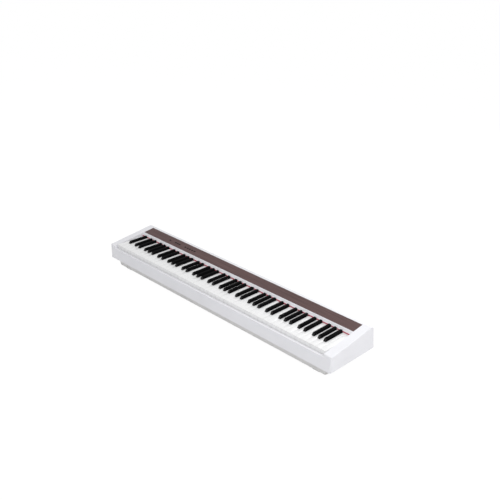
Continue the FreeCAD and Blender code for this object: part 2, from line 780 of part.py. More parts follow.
footPlaces = fourPlaces("sizes.footInset", "sizes.footFront", "sizes.footRear")
insertPlaces = fourPlaces("sizes.insertInset", "sizes.insertFront", "sizes.insertRear")


def standoffPlaces():
    """Corners of the main board, where its four standoffs are."""
    endways = "(sizes.mainBoardLength / 2 - sizes.standoffEnd)"
    sideways = "(sizes.mainBoardWidth / 2 - sizes.standoffSide)"
    xs = [f"(sizes.mainBoardX {sign} {endways})" for sign in "-+"]
    ys = [f"({speakerY} {sign} {sideways})" for sign in "-+"]
    return [(x, y) for x in xs for y in ys]


def lowerCase():
    """A tapered tub under a flange that fills the upper case's rim."""
    body = newBody("lower_case")
    flange = sketchOn(body, "flange_plan", "XY_Plane", flangeBottom)
    flangeSide = f"({halfWidth} - sizes.caseWall - sizes.fitGap)"
    rectangle(
        flange,
        f"-{flangeSide}",
        f"{frontY} + sizes.frontWall + sizes.fitGap",
        flangeSide,
        f"{rearAt(flangeTop)} - sizes.caseWall - sizes.fitGap",
    )
    extrude(body, "Pad", "flange", flange, "sizes.flangeThick")

    tub = sketchOn(body, "tub_plan", "XY_Plane", flangeBottom)
    roundedRectangle(tub, tubSide, tubFrontY, tubRearY, "sizes.tubCorner")
    upper = f"({flangeBottom} - sizes.footHeight - sizes.tubEdge)"
    extrude(body, "Pad", "tub", tub, upper, reverse=True, taper="-sizes.tubTaper")
    run = f"({upper} * tan(sizes.tubTaper))"
    edge = sketchOn(body, "tub_edge_plan", "XY_Plane", "sizes.footHeight + sizes.tubEdge")
    roundedRectangle(
        edge, f"({tubSide} - {run})", f"({tubFrontY} + {run})", f"({tubRearY} - {run})",
        f"(sizes.tubCorner - {run})",
    )
    extrude(body, "Pad", "tub_edge", edge, "sizes.tubEdge", reverse=True, taper="-sizes.tubEdgeSlope")

    hollow = sketchOn(body, "tub_hollow_plan", "XY_Plane", flangeTop)
    wall = "sizes.tubWall"
    roundedRectangle(
        hollow, f"({tubSide} - {wall})", f"({tubFrontY} + {wall})", f"({tubRearY} - {wall})",
        f"(sizes.tubCorner - {wall})",
    )
    tubDraft = f"{flangeTop} - {floorTop}"
    extrude(body, "Pocket", "tub_hollow", hollow, tubDraft, taper="-sizes.tubTaper")

    # bosses for the stand's screws and standoffs for the main board
    bosses = sketchOn(body, "insert_boss_plan", "XY_Plane", floorTop)
    for x, y in insertPlaces:
        square(bosses, x, y, "sizes.insertBoss")
    extrude(body, "Pad", "insert_bosses", bosses, "sizes.insertDepth")
    standoffs = sketchOn(body, "standoff_plan", "XY_Plane", floorTop)
    for x, y in standoffPlaces():
        square(standoffs, x, y, "sizes.standoffWidth")
    extrude(body, "Pad", "standoffs", standoffs, "sizes.standoffHeight")

    # from below: screw holes for a stand, and slots under the speakers
    inserts = sketchOn(body, "insert_hole_plan", "XY_Plane", "sizes.footHeight")
    for x, y in insertPlaces:
        circle(inserts, x, y, "sizes.insertRadius")
    extrude(body, "Pocket", "insert_holes", inserts, "sizes.insertDepth", reverse=True)
    slots = sketchOn(body, "speaker_slot_plan", "XY_Plane", "sizes.footHeight")
    for sign in ("-", ""):
        for step in range(-2, 3):
            across = f"{speakerY} + {step} * sizes.grillePitch"
            rectangle(
                slots,
                f"{sign}{speakerX} - 0.4 * sizes.speakerLength",
                f"{across} - sizes.grilleSlot / 2",
                f"{sign}{speakerX} + 0.4 * sizes.speakerLength",
                f"{across} + sizes.grilleSlot / 2",
            )
    extrude(body, "Pocket", "speaker_slots", slots, "sizes.tubWall", reverse=True)
    return keep(body)


def centred(sketch, length, width, x="0"):
    """A rectangle around a point of the sketch's X axis."""
    rectangle(
        sketch, f"{x} - {length} / 2", f"-{width} / 2", f"{x} + {length} / 2", f"{width} / 2",
    )


def around(length, width):
    """Left, front, right and rear of a rectangle around the origin."""
    return (f"-{length} / 2", f"-{width} / 2", f"{length} / 2", f"{width} / 2")


def feet():
    """Four rubber pads, drawn in towards the surface that they stand on."""
    foot = newBody("foot")
    draft = "2 * sizes.footDraft"
    sole = around(f"(sizes.footLength - {draft})", f"(sizes.footWidth - {draft})")
    top = around("sizes.footLength", "sizes.footWidth")
    wedge(foot, "AdditiveWedge", "foot_pad", sole, top, "0", "sizes.footHeight")
    copies("rubber_feet", [(foot, x, y, "0") for x, y in footPlaces])


def speaker(label, x):
    """An oblong driver that faces down on the floor's slots: plate, basket, cone and magnet."""
    body = newBody(label)
    plate = sketchOn(body, label + "_plate_plan", "XY_Plane")
    centred(plate, "sizes.speakerLength", "sizes.speakerWidth")
    extrude(body, "Pad", label + "_plate", plate, "sizes.speakerPlate")

    magnetZ = "(sizes.speakerHeight - sizes.magnetHeight)"
    neck = "(1.8 * sizes.magnetRadius)"
    wedge(
        body, "AdditiveWedge", label + "_basket",
        around("(0.9 * sizes.speakerLength)", "(0.85 * sizes.speakerWidth)"), around(neck, neck),
        "sizes.speakerPlate", magnetZ,
    )
    magnet = sketchOn(body, label + "_magnet_plan", "XY_Plane", magnetZ)
    circle(magnet, "0", "0", "sizes.magnetRadius")
    extrude(body, "Pad", label + "_magnet", magnet, "sizes.magnetHeight")

    throat = "(1.2 * sizes.magnetRadius)"
    wedge(
        body, "SubtractiveWedge", label + "_cone",
        around("(0.84 * sizes.speakerLength)", "(0.76 * sizes.speakerWidth)"), around(throat, throat),
        "0", f"{magnetZ} - sizes.speakerPlate",
    )
    keep(place(body, x, speakerY, floorTop))


# ---------------------------------------------------------------- key bed and action

def keyBed():
    """The pressed bed: a deck folded up under the contacts and the rod, two legs and a rear wall."""
    body = newBody("key_frame")
    thick = "sizes.bedThick"
    start = f"({keyY} - sizes.bedFront)"

    def fold(front, width, top):
        """Under and upper outline of one upward fold of the deck."""
        rear = f"({front} + {width})"
        under = [
            (f"{front} + {thick}", bedBottom),
            (f"{front} + {thick}", f"{top} - {thick}"),
            (f"{rear} - {thick}", f"{top} - {thick}"),
            (f"{rear} - {thick}", bedBottom),
        ]
        upper = [(rear, bedTop), (rear, top), (front, top), (front, bedTop)]
        return under, upper

    contactUnder, contactUpper = fold(contactFront, "sizes.swageWidth", contactSeat)
    rodFront = f"({pivotY} - sizes.rodSeatWidth / 2)"
    rodUnder, rodUpper = fold(rodFront, "sizes.rodSeatWidth", f"({pivotZ} - sizes.rodRadius)")
    deck = sketchOn(body, "deck_side", "YZ_Plane")
    outline(deck, [
        (start, bedBottom),
        *contactUnder,
        *rodUnder,
        (f"{bedRearY} + {thick}", bedBottom),
        (f"{bedRearY} + {thick}", bedWallTop),
        (bedRearY, bedWallTop),
        (bedRearY, bedTop),
        *rodUpper,
        *contactUpper,
        (start, bedTop),
    ])
    extrude(body, "Pad", "deck", deck, f"2 * {bedHalf}", "Symmetric")

    legs = sketchOn(body, "leg_side", "YZ_Plane")
    legBacks = (f"({keyY} + sizes.legFront)", f"({pivotY} - sizes.legLead)")
    for back, toe in zip(legBacks, "+-"):
        outline(legs, [
            (back, floorTop),
            (back, bedBottom),
            (f"{back} {toe} {thick}", bedBottom),
            (f"{back} {toe} {thick}", f"{floorTop} + {thick}"),
            (f"{back} {toe} sizes.legFoot", f"{floorTop} + {thick}"),
            (f"{back} {toe} sizes.legFoot", floorTop),
        ])
    extrude(body, "Pad", "legs", legs, f"2 * ({bedHalf} - sizes.legInset)", "Symmetric")

    # a lug with a bore for the rod at each end of the bed
    for name, x in (("low_lug", f"-{bedHalf}"), ("high_lug", f"{bedHalf} - sizes.lugThick")):
        lug = sketchOn(body, name + "_side", "YZ_Plane", x)
        front = f"{pivotY} - sizes.lugReach"
        rear = f"{pivotY} + sizes.lugReach"
        rectangle(lug, front, bedTop, rear, f"{pivotZ} + sizes.lugReach")
        circle(lug, pivotY, pivotZ, "sizes.rodRadius")
        extrude(body, "Pad", name, lug, "sizes.lugThick")
    return keep(body)


def pivotRod():
    rod = doc.addObject("Part::Cylinder", "pivot_rod")
    rod.setExpression("Radius", "sizes.rodRadius")
    rod.setExpression("Height", f"2 * {bedHalf}")
    rod.Placement = Placement(Vector(0, 0, 0), Rotation(Vector(0, 1, 0), 90))
    keep(place(rod, f"-{bedHalf}", pivotY, pivotZ))


def tailMiddles():
    """Middle of each key's tail along X, with True for a sharp, lowest key first."""
    middles = []
    for white in range(whites):
        step = (white - 2) % octaveWhites
        base = white - step
        left = sharpPlaces.get(step)
        right = sharpPlaces.get(step + 1)
        if white == 0:
            left = None
        if white == whites - 1:
            right = None
        halfSlot = "sizes.sharpSlot / 2"
        side = "sizes.keyGap / 2"
        leftX = f"{whiteX(base + left)} + {halfSlot}" if left else f"{whiteX(white)} + {side}"
        rightX = f"{whiteX(base + right)} - {halfSlot}" if right else f"{whiteX(white + 1)} - {side}"
        middles.append((f"(({leftX} + {rightX}) / 2)", False))
        if right:
            middles.append((whiteX(base + right), True))
    return middles


def downBy(reach):
    """How far a fully pressed key goes down, at a distance behind the key fronts."""
    return f"((sizes.pivotReach - ({reach})) * tan({dipAngle}))"


def guidePin(label, width, reach):
    """A pin, centred on its own X, that ends inside the hollow of a fully pressed key."""
    height = f"sizes.bedDrop - sizes.keyTop - {downBy(reach)} - sizes.pinClear"
    return box(label, f"-{width} / 2", "0", "0", f"{width} / 2", "sizes.pinDepth", height)


def action():
    """What works with the keys on the bed: guide pins, springs, retainer, stop felt, contacts."""
    middles = tailMiddles()
    natural = guidePin("natural_pin", "sizes.pinWidth", "sizes.pinFront")
    sharp = guidePin("sharp_pin", "sizes.sharpPinWidth", "sizes.sharpPinFront")
    pins = []
    for x, isSharp in middles:
        pin = sharp if isSharp else natural
        reach = "sizes.sharpPinFront" if isSharp else "sizes.pinFront"
        pins.append((pin, x, f"{keyY} + {reach}", bedTop))
    copies("guide_pins", pins)

    # one leaf spring rises from the deck to just under each pressed tail
    leaf = newBody("leaf_spring")
    side = sketchOn(leaf, "leaf_side", "YZ_Plane")
    run = "(sizes.springTip - sizes.springFoot)"
    tip = f"(sizes.bedDrop - sizes.keyDepth - sizes.fitGap - {downBy('sizes.springTip')})"
    outline(side, [
        ("0", "0"),
        ("3 * sizes.springThick", "0"),
        (run, f"{tip} - sizes.springThick"),
        (run, tip),
    ])
    extrude(leaf, "Pad", "leaf", side, "sizes.springWidth", "Symmetric")
    springY = f"{keyY} + sizes.springFoot"
    copies("key_springs", [(leaf, x, springY, bedTop) for x, isSharp in middles])

    keep(box(
        "key_retainer", f"-{bedHalf}", f"{pivotY} - sizes.lugReach", bedWallTop,
        bedHalf, f"{bedRearY} + sizes.bedThick", f"{bedWallTop} + sizes.retainerThick",
    ))
    feltTop = f"sizes.keyHeight - sizes.lipDepth - sizes.keyDip - sizes.fitGap"
    keep(box(
        "stop_felt", f"-{halfKeys}", f"{keyY} - sizes.feltFront", bedTop,
        halfKeys, f"{keyY} + sizes.feltWidth", feltTop,
    ))
    boardTop = f"({contactSeat} + sizes.boardThick)"
    keep(box(
        "contact_board", f"-{halfKeys}", f"{contactFront} + sizes.contactInset", contactSeat,
        halfKeys, f"{contactFront} + sizes.swageWidth - sizes.contactInset", boardTop,
    ))
    contactRubber(boardTop, f"({contactFront} + sizes.swageWidth / 2)")


def contactRubber(base, middle):
    """A rubber strip with a raised ridge, which the keys press on the contact board."""
    body = newBody("contact_rubber")
    ridge = f"(sizes.keyHeight - sizes.keyDepth - {downBy('sizes.swageStart')} - sizes.fitGap)"
    sole = f"({base} + sizes.rubberSole)"
    side = sketchOn(body, "rubber_side", "YZ_Plane")
    outline(side, [
        (f"{middle} - sizes.rubberWidth / 2", base),
        (f"{middle} + sizes.rubberWidth / 2", base),
        (f"{middle} + sizes.rubberWidth / 2", sole),
        (f"{middle} + sizes.rubberWidth / 4", sole),
        (f"{middle} + sizes.rubberWidth / 8", ridge),
        (f"{middle} - sizes.rubberWidth / 8", ridge),
        (f"{middle} - sizes.rubberWidth / 4", sole),
        (f"{middle} - sizes.rubberWidth / 2", sole),
    ])
    extrude(body, "Pad", "rubber_strip", side, f"2 * {halfKeys}", "Symmetric")
    keep(body)


def nameFelt():
    """The red felt under the fallboard's edge."""
    half = f"({wellHalf} - sizes.fitGap)"
    keep(box(
        "name_felt", f"-{half}", f"{fallY} - sizes.nameFeltProud",
        "sizes.keyHeight + sizes.nameFeltLift",
        half, f"{fallY} + sizes.innerWall", "sizes.keyHeight + sizes.fallboardLift",
    ))


# ---------------------------------------------------------------- top panel, buttons, boards

def buttonPlaces():
    """Name and X of each button, from the bass side."""
    places = [("power_button", powerX)]
    for index in range(3):
        places.append((f"level_button_{index + 1}", f"{levelX} + {index - 1} * sizes.levelPitch"))
    for index in range(5):
        places.append((f"voice_button_{index + 1}", f"{voiceX} + {index - 2} * sizes.voicePitch"))
    return places


def onTop(item, x, along, lift="0"):
    """Places a piece in the sloping top: x, distance along the slope, height above it."""
    y = f"{frontY} + {along} * cos(sizes.topSlope) - ({lift}) * sin(sizes.topSlope)"
    z = f"{cheekTop} + {along} * sin(sizes.topSlope) + ({lift}) * cos(sizes.topSlope)"
    return place(item, x, y, z, tilt="sizes.topSlope")


def topPanel():
    """The long inlay behind the keys, with holes for the buttons."""
    body = newBody("top_panel")
    half = f"({halfKeys} + sizes.panelOverlap - sizes.fitGap)"
    plan = sketchOn(body, "panel_plan", "XY_Plane")
    rectangle(
        plan, f"-{half}", "-sizes.panelDepth / 2 + sizes.fitGap",
        half, "sizes.panelDepth / 2 - sizes.fitGap",
    )
    for name, x in buttonPlaces():
        spanX = "(sizes.buttonWidth + 2 * sizes.buttonClear)"
        spanY = "(sizes.buttonLength + 2 * sizes.buttonClear)"
        centred(plan, spanX, spanY, x)
    extrude(body, "Pad", "panel", plan, "sizes.panelThick - sizes.panelSink")
    keep(onTop(body, "0", buttonLine, "-sizes.panelThick"))


def buttons():
    """Caps with a chamfered top, and a flange that keeps them under the panel."""
    flangeZ = "(-sizes.panelThick - sizes.flangeDrop)"
    wider = "2 * sizes.buttonFlange"
    for name, x in buttonPlaces():
        body = newBody(name)
        flange = sketchOn(body, name + "_flange_plan", "XY_Plane", flangeZ)
        centred(flange, f"(sizes.buttonWidth + {wider})", f"(sizes.buttonLength + {wider})")
        extrude(body, "Pad", name + "_flange", flange, "sizes.buttonPlate", reverse=True)
        plan = sketchOn(body, name + "_cap_plan", "XY_Plane", flangeZ)
        centred(plan, "sizes.buttonWidth", "sizes.buttonLength")
        cap = extrude(body, "Pad", name + "_cap", plan, f"sizes.buttonRise - {flangeZ}")
        edge = body.newObject("PartDesign::Chamfer", name + "_edge")
        edge.Base = (cap, edgesWhere(cap, atButtonTop))
        edge.setExpression("Size", "sizes.buttonEdge")
        keep(onTop(body, x, buttonLine))


def atButtonTop(edge):
    line = edge.BoundBox
    return line.ZLength < 0.01 and near(line.ZMin, "sizes.buttonRise")


def controlBoard():
    """Circuit board under the button window, with one switch dome for each button."""
    body = newBody("control_board")
    plan = sketchOn(body, "control_board_plan", "XY_Plane")
    rectangle(
        plan, f"{powerX} - sizes.boardMargin", "-sizes.controlBoardWidth / 2",
        f"{lastButtonX} + sizes.boardMargin", "sizes.controlBoardWidth / 2",
    )
    extrude(body, "Pad", "control_board_plate", plan, "sizes.boardThick", reverse=True)
    pressed = "(sizes.flangeDrop + sizes.buttonPlate + sizes.buttonTravel)"
    domes = sketchOn(body, "switch_dome_plan", "XY_Plane")
    for name, x in buttonPlaces():
        square(domes, x, "0", "sizes.switchWidth")
    rise = f"sizes.panelSeat - {pressed} - sizes.switchClear"
    extrude(body, "Pad", "switch_domes", domes, rise)
    keep(onTop(body, "0", buttonLine, f"-{ceiling}"))


def mainBoard():
    base = f"({floorTop} + sizes.standoffHeight)"
    keep(box(
        "main_board", "sizes.mainBoardX - sizes.mainBoardLength / 2",
        f"{speakerY} - sizes.mainBoardWidth / 2", base,
        "sizes.mainBoardX + sizes.mainBoardLength / 2",
        f"{speakerY} + sizes.mainBoardWidth / 2", f"{base} + sizes.boardThick",
    ))


# ---------------------------------------------------------------- rear connectors

rearTilt = f"atan({leanRatio})"


def atRear(item, x="0"):
    """Places a piece on the leaning rear wall: its own +Y points out of the wall."""
    return place(item, f"sizes.jackX + {x}", rearAt("sizes.jackHeight"), "sizes.jackHeight", tilt=rearTilt)


jackSpots = {
    "phones_jack": "sizes.phonesX",
    "pedal_jack": "sizes.pedalX",
    "usb_port": "sizes.usbX",
    "dc_inlet": "sizes.dcX",
}
plateBack = "(sizes.jackPlateSink + sizes.jackPlateThick)"


def faceSketch(body, name, behind="0"):
    """A sketch that faces the rear, a distance inside the wall's outer face."""
    return sketchOn(body, name, "XZ_Plane", behind)


def jackPlate():
    body = newBody("jack_plate")
    face = faceSketch(body, "jack_plate_face", plateBack)
    centred(face, "sizes.jackPlateWidth", "sizes.jackPlateHeight")
    for name in ("phones_jack", "pedal_jack"):
        circle(face, jackSpots[name], "0", "sizes.jackNose + sizes.fitGap")
    circle(face, jackSpots["dc_inlet"], "0", "sizes.inletNose + sizes.fitGap")
    room = "2 * sizes.fitGap"
    centred(face, f"(sizes.usbWidth + {room})", f"(sizes.usbHeight + {room})", jackSpots["usb_port"])
    extrude(body, "Pad", "jack_plate_block", face, "sizes.jackPlateThick", reverse=True)
    keep(atRear(body))


def block(body, name, width, top, depth):
    """The part of a connector behind the plate: it stands on the jack board."""
    back = faceSketch(body, name + "_back", f"{plateBack} + {depth}")
    rectangle(back, f"-{width} / 2", "-sizes.jackBoardDrop", f"{width} / 2", top)
    extrude(body, "Pad", name + "_block", back, depth, reverse=True)


def roundJack(name):
    """A 6.35 mm socket: a nose in the plate, a square body behind it, and a blind bore."""
    body = newBody(name)
    block(body, name, "sizes.jackBlock", "sizes.jackBlock / 2", "sizes.jackBlockDepth")
    nose = faceSketch(body, name + "_nose_face", plateBack)
    circle(nose, "0", "0", "sizes.jackNose")
    extrude(body, "Pad", name + "_nose", nose, "sizes.jackPlateThick", reverse=True)
    bore = faceSketch(body, name + "_bore_face")
    circle(bore, "0", "0", "sizes.jackBore")
    depth = "sizes.jackPlateSink + sizes.jackDepth"
    extrude(body, "Pocket", name + "_bore", bore, depth, reverse=True)
    keep(atRear(body, jackSpots[name]))


def dcInlet():
    """A barrel inlet with its centre pin."""
    body = newBody("dc_inlet")
    block(body, "dc", "sizes.portBlock", "sizes.portBlock / 2", "sizes.portBlockDepth")
    nose = faceSketch(body, "dc_nose_face", plateBack)
    circle(nose, "0", "0", "sizes.inletNose")
    extrude(body, "Pad", "dc_nose", nose, "sizes.jackPlateThick", reverse=True)
    well = faceSketch(body, "dc_well_face")
    circle(well, "0", "0", "sizes.inletWell")
    circle(well, "0", "0", "sizes.inletPin")
    extrude(body, "Pocket", "dc_well", well, "sizes.inletDepth", reverse=True)
    keep(atRear(body, jackSpots["dc_inlet"]))


def usbPort():
    """A square data port with its tongue."""
    body = newBody("usb_port")
    block(body, "usb", "sizes.usbWidth", "sizes.portBlock / 2", "sizes.portBlockDepth")
    nose = faceSketch(body, "usb_nose_face", plateBack)
    centred(nose, "sizes.usbWidth", "sizes.usbHeight")
    extrude(body, "Pad", "usb_nose", nose, "sizes.jackPlateThick", reverse=True)
    well = faceSketch(body, "usb_well_face")
    centred(well, "sizes.usbWellWidth", "sizes.usbWellHeight")
    centred(well, "sizes.usbTongueWidth", "sizes.usbTongueHeight")
    extrude(body, "Pocket", "usb_well", well, "sizes.usbDepth", reverse=True)
    keep(atRear(body, jackSpots["usb_port"]))


def jackBoard():
    """Circuit board that the four connectors stand on, behind the jack plate."""
    body = newBody("jack_board")
    plan = sketchOn(body, "jack_board_plan", "XY_Plane", "-sizes.jackBoardDrop")
    rectangle(
        plan, "sizes.phonesX - sizes.jackBoardEnd", f"-{plateBack} - sizes.jackBoardWidth",
        "sizes.dcX + sizes.jackBoardEnd", f"-{plateBack}",
    )
    extrude(body, "Pad", "jack_board_plate", plan, "sizes.boardThick", reverse=True)
    keep(atRear(body))


# ---------------------------------------------------------------- build, check and write

keys()
upperCase()
lowerCase()
feet()
speaker("speaker_left", f"-{speakerX}")
speaker("speaker_right", speakerX)
keyBed()
pivotRod()
action()
nameFelt()
topPanel()
buttons()
controlBoard()
mainBoard()
jackPlate()
for socket in ("phones_jack", "pedal_jack"):
    roundJack(socket)
dcInlet()
usbPort()
jackBoard()
doc.recompute()

for item in doc.Objects:
    faults = {"Invalid", "Error"} & set(item.State)
    if faults:
        raise RuntimeError(f"{item.Label}: {sorted(faults)}")
for item in subParts:
    if item.Shape.isNull() or not item.Shape.isValid():
        raise RuntimeError(f"{item.Label}: its shape is not sound")

os.makedirs("parts", exist_ok=True)
for item in subParts:
    item.Shape.exportStep(os.path.join("parts", item.Label + ".step"))
print(len(subParts), "sub-parts written")
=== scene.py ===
import json
import math
from collections import defaultdict

import bmesh
import bpy
from mathutils import Matrix, Vector


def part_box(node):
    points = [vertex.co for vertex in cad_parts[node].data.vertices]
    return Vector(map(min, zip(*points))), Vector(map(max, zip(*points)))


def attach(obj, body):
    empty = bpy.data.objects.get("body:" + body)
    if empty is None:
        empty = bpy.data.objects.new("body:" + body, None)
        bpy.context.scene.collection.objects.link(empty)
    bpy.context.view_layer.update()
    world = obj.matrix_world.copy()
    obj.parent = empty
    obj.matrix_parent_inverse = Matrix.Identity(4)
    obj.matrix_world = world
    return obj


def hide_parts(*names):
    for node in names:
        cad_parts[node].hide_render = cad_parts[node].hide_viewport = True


# an 88-key slab piano: the CAD frame gets its finishes, moulded keys and small fittings
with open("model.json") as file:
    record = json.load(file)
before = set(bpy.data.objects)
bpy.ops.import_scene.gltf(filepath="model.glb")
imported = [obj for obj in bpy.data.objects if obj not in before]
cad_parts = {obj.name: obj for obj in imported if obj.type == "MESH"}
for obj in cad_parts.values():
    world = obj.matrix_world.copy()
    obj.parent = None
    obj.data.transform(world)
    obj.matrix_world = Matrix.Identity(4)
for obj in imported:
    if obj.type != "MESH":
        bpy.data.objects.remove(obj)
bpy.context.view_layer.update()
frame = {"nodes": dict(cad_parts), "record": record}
nodes = frame["nodes"]
scene = bpy.context.scene
members = frame["record"]["behaviour"]["bodies"]
bodyOf = {node: body for body, group in members.items() for node in group}
print("frame:", len(nodes), "nodes")


# finishes

def startMaterial(name):
    material = bpy.data.materials.new(name)
    material.use_nodes = True
    tree = material.node_tree
    return material, tree, tree.nodes["Principled BSDF"]


def addNode(tree, kind, sockets=None, **settings):
    node = tree.nodes.new("ShaderNode" + kind)
    for key, value in settings.items():
        setattr(node, key, value)
    for name, value in (sockets or {}).items():
        if isinstance(value, bpy.types.NodeSocket):
            tree.links.new(value, node.inputs[name])
        else:
            node.inputs[name].default_value = value
    return node


def places(tree, scale=(1, 1, 1)):
    # object coordinates are metres in the shared frame
    source = addNode(tree, "TexCoord").outputs["Object"]
    return addNode(tree, "Mapping", {"Vector": source, "Scale": scale}).outputs["Vector"]


def noise(tree, where, scale, detail=3.0, roughness=0.5):
    sockets = {"Vector": where, "Scale": scale, "Detail": detail, "Roughness": roughness}
    return addNode(tree, "TexNoise", sockets).outputs["Fac"]


def product(tree, first, second):
    return addNode(tree, "Math", {0: first, 1: second}, operation="MULTIPLY").outputs["Value"]


def spread(tree, factor, low, high):
    sockets = {"Value": factor, "To Min": low, "To Max": high}
    return addNode(tree, "MapRange", sockets).outputs["Result"]


def tint(tree, shader, factor, stops):
    # colours the shader by a factor from 0 to 1
    node = addNode(tree, "ValToRGB", {"Fac": factor})
    elements = node.color_ramp.elements
    for element, (position, color) in zip(elements, stops):
        element.position = position
        element.color = (*color, 1)
    tree.links.new(node.outputs["Color"], shader.inputs["Base Color"])


def roughen(tree, shader, factor, low, high):
    tree.links.new(spread(tree, factor, low, high), shader.inputs["Roughness"])


def bump(tree, shader, height, strength, distance):
    sockets = {"Height": height, "Strength": strength, "Distance": distance}
    tree.links.new(addNode(tree, "Bump", sockets).outputs["Normal"], shader.inputs["Normal"])


def dim(color, share):
    # the same colour, darker or lighter
    return tuple(channel * share for channel in color)


def plastic(name, color, roughness, grain, grainScale=1300.0, coat=0.0, depth=0.00015, gloss=0.5):
    # moulded plastic: fine spark texture, slow drift of colour
    material, tree, shader = startMaterial(name)
    where = places(tree)
    drift = noise(tree, where, 7.0, 4.0)
    fine = noise(tree, where, grainScale, 2.0)
    tint(tree, shader, drift, [(0.3, dim(color, 0.965)), (0.7, color)])
    roughen(tree, shader, fine, roughness - 0.06, roughness + 0.08)
    shader.inputs["Specular IOR Level"].default_value = gloss
    shader.inputs["Coat Weight"].default_value = coat
    shader.inputs["Coat Roughness"].default_value = 0.12
    bump(tree, shader, fine, grain, depth)
    return material


# how often each figure repeats in a metre along, across and through the inlay
woodFigure = {"streaks": (5, 330, 330), "patches": (14, 60, 60), "pores": (90, 1900, 1900)}


def wood(name, dark, light):
    # long streaks and pores that run with the keyboard
    material, tree, shader = startMaterial(name)
    streaks = noise(tree, places(tree, woodFigure["streaks"]), 1.0, 6.0, 0.65)
    patches = noise(tree, places(tree, woodFigure["patches"]), 1.0, 3.0)
    pores = noise(tree, places(tree, woodFigure["pores"]), 1.0, 2.0)
    both = product(tree, streaks, spread(tree, patches, 0.40, 0.60))
    tint(tree, shader, both, [(0.14, dark), (0.42, light)])
    roughen(tree, shader, pores, 0.38, 0.62)
    shader.inputs["Specular IOR Level"].default_value = 0.22
    bump(tree, shader, pores, 0.35, 0.0001)
    return material


def felt(name, color):
    # pressed fibres in loose clumps
    material, tree, shader = startMaterial(name)
    where = places(tree)
    fibres = noise(tree, where, 2600.0, 4.0, 0.7)
    clumps = noise(tree, where, 240.0, 3.0)
    tint(tree, shader, clumps, [(0.3, dim(color, 0.72)), (0.7, color)])
    shader.inputs["Roughness"].default_value = 0.95
    shader.inputs["Sheen Weight"].default_value = 0.5
    bump(tree, shader, fibres, 0.8, 0.0004)
    return material


def metal(name, color, roughness, brushed=(1, 1, 1), plated=0.0):
    # brushed along the axis with the small scale; plated gives zinc spangle
    material, tree, shader = startMaterial(name)
    lines = noise(tree, places(tree, brushed), 420.0, 3.0)
    cells = addNode(tree, "TexVoronoi", {"Vector": places(tree), "Scale": 160.0})
    grey = addNode(tree, "RGBToBW", {"Color": cells.outputs["Color"]}).outputs["Val"]
    tint(tree, shader, grey, [(0.2, dim(color, 1 - plated)), (0.8, color)])
    shader.inputs["Metallic"].default_value = 1.0
    roughen(tree, shader, lines, roughness - 0.08, roughness + 0.12)
    bump(tree, shader, lines, 0.12, 0.0001)
    return material


def circuitBoard(name, mask, trace):
    # solder mask over a net of copper traces
    material, tree, shader = startMaterial(name)
    sockets = {"Vector": places(tree), "Scale": 90.0, "Mortar Size": 0.03, "Color1": (*mask, 1)}
    sockets.update({"Color2": (*dim(mask, 0.85), 1), "Mortar": (*trace, 1)})
    bricks = addNode(tree, "TexBrick", sockets)
    tree.links.new(bricks.outputs["Color"], shader.inputs["Base Color"])
    roughen(tree, shader, bricks.outputs["Fac"], 0.28, 0.4)
    bump(tree, shader, bricks.outputs["Fac"], 0.4, 0.0001)
    return material


def keyBlack(name, color, paintedLight):
    # matt black, with painted light that makes the front slopes paler
    material, tree, shader = startMaterial(name)
    where = places(tree)
    drift = noise(tree, where, 30.0, 4.0)
    fine = noise(tree, where, 1100.0, 2.0)
    normal = addNode(tree, "TexCoord").outputs["Normal"]
    facing = addNode(tree, "SeparateXYZ", {"Vector": normal}).outputs["Y"]
    sockets = {"Value": facing, "From Min": -0.35, "From Max": -0.85}
    front = addNode(tree, "MapRange", sockets).outputs["Result"]
    # painted light: faces turned to the front get a paler colour, mottled by the drift
    paintedFrontLight = product(tree, front, spread(tree, drift, 0.6, 1.3))
    tint(tree, shader, paintedFrontLight, [(0.0, color), (1.0, paintedLight)])
    roughen(tree, shader, fine, 0.36, 0.5)
    shader.inputs["Specular IOR Level"].default_value = 0.008
    bump(tree, shader, fine, 0.25, 0.00015)
    return material


def rubber(name, color):
    # dusty and gritty
    material, tree, shader = startMaterial(name)
    where = places(tree)
    dust = noise(tree, where, 60.0, 5.0)
    grit = noise(tree, where, 1800.0, 3.0)
    tint(tree, shader, dust, [(0.35, color), (0.75, dim(color, 1.7))])
    roughen(tree, shader, dust, 0.68, 0.88)
    bump(tree, shader, grit, 0.5, 0.0003)
    return material


def cloth(name, color):
    # two crossed sets of threads
    material, tree, shader = startMaterial(name)
    threads = {"Vector": places(tree), "Scale": 260.0}
    warp = addNode(tree, "TexWave", threads, bands_direction="X").outputs["Fac"]
    weft = addNode(tree, "TexWave", threads, bands_direction="Y").outputs["Fac"]
    weave = product(tree, warp, weft)
    tint(tree, shader, weave, [(0.1, dim(color, 0.4)), (0.9, color)])
    shader.inputs["Roughness"].default_value = 0.9
    bump(tree, shader, weave, 0.9, 0.0003)
    return material


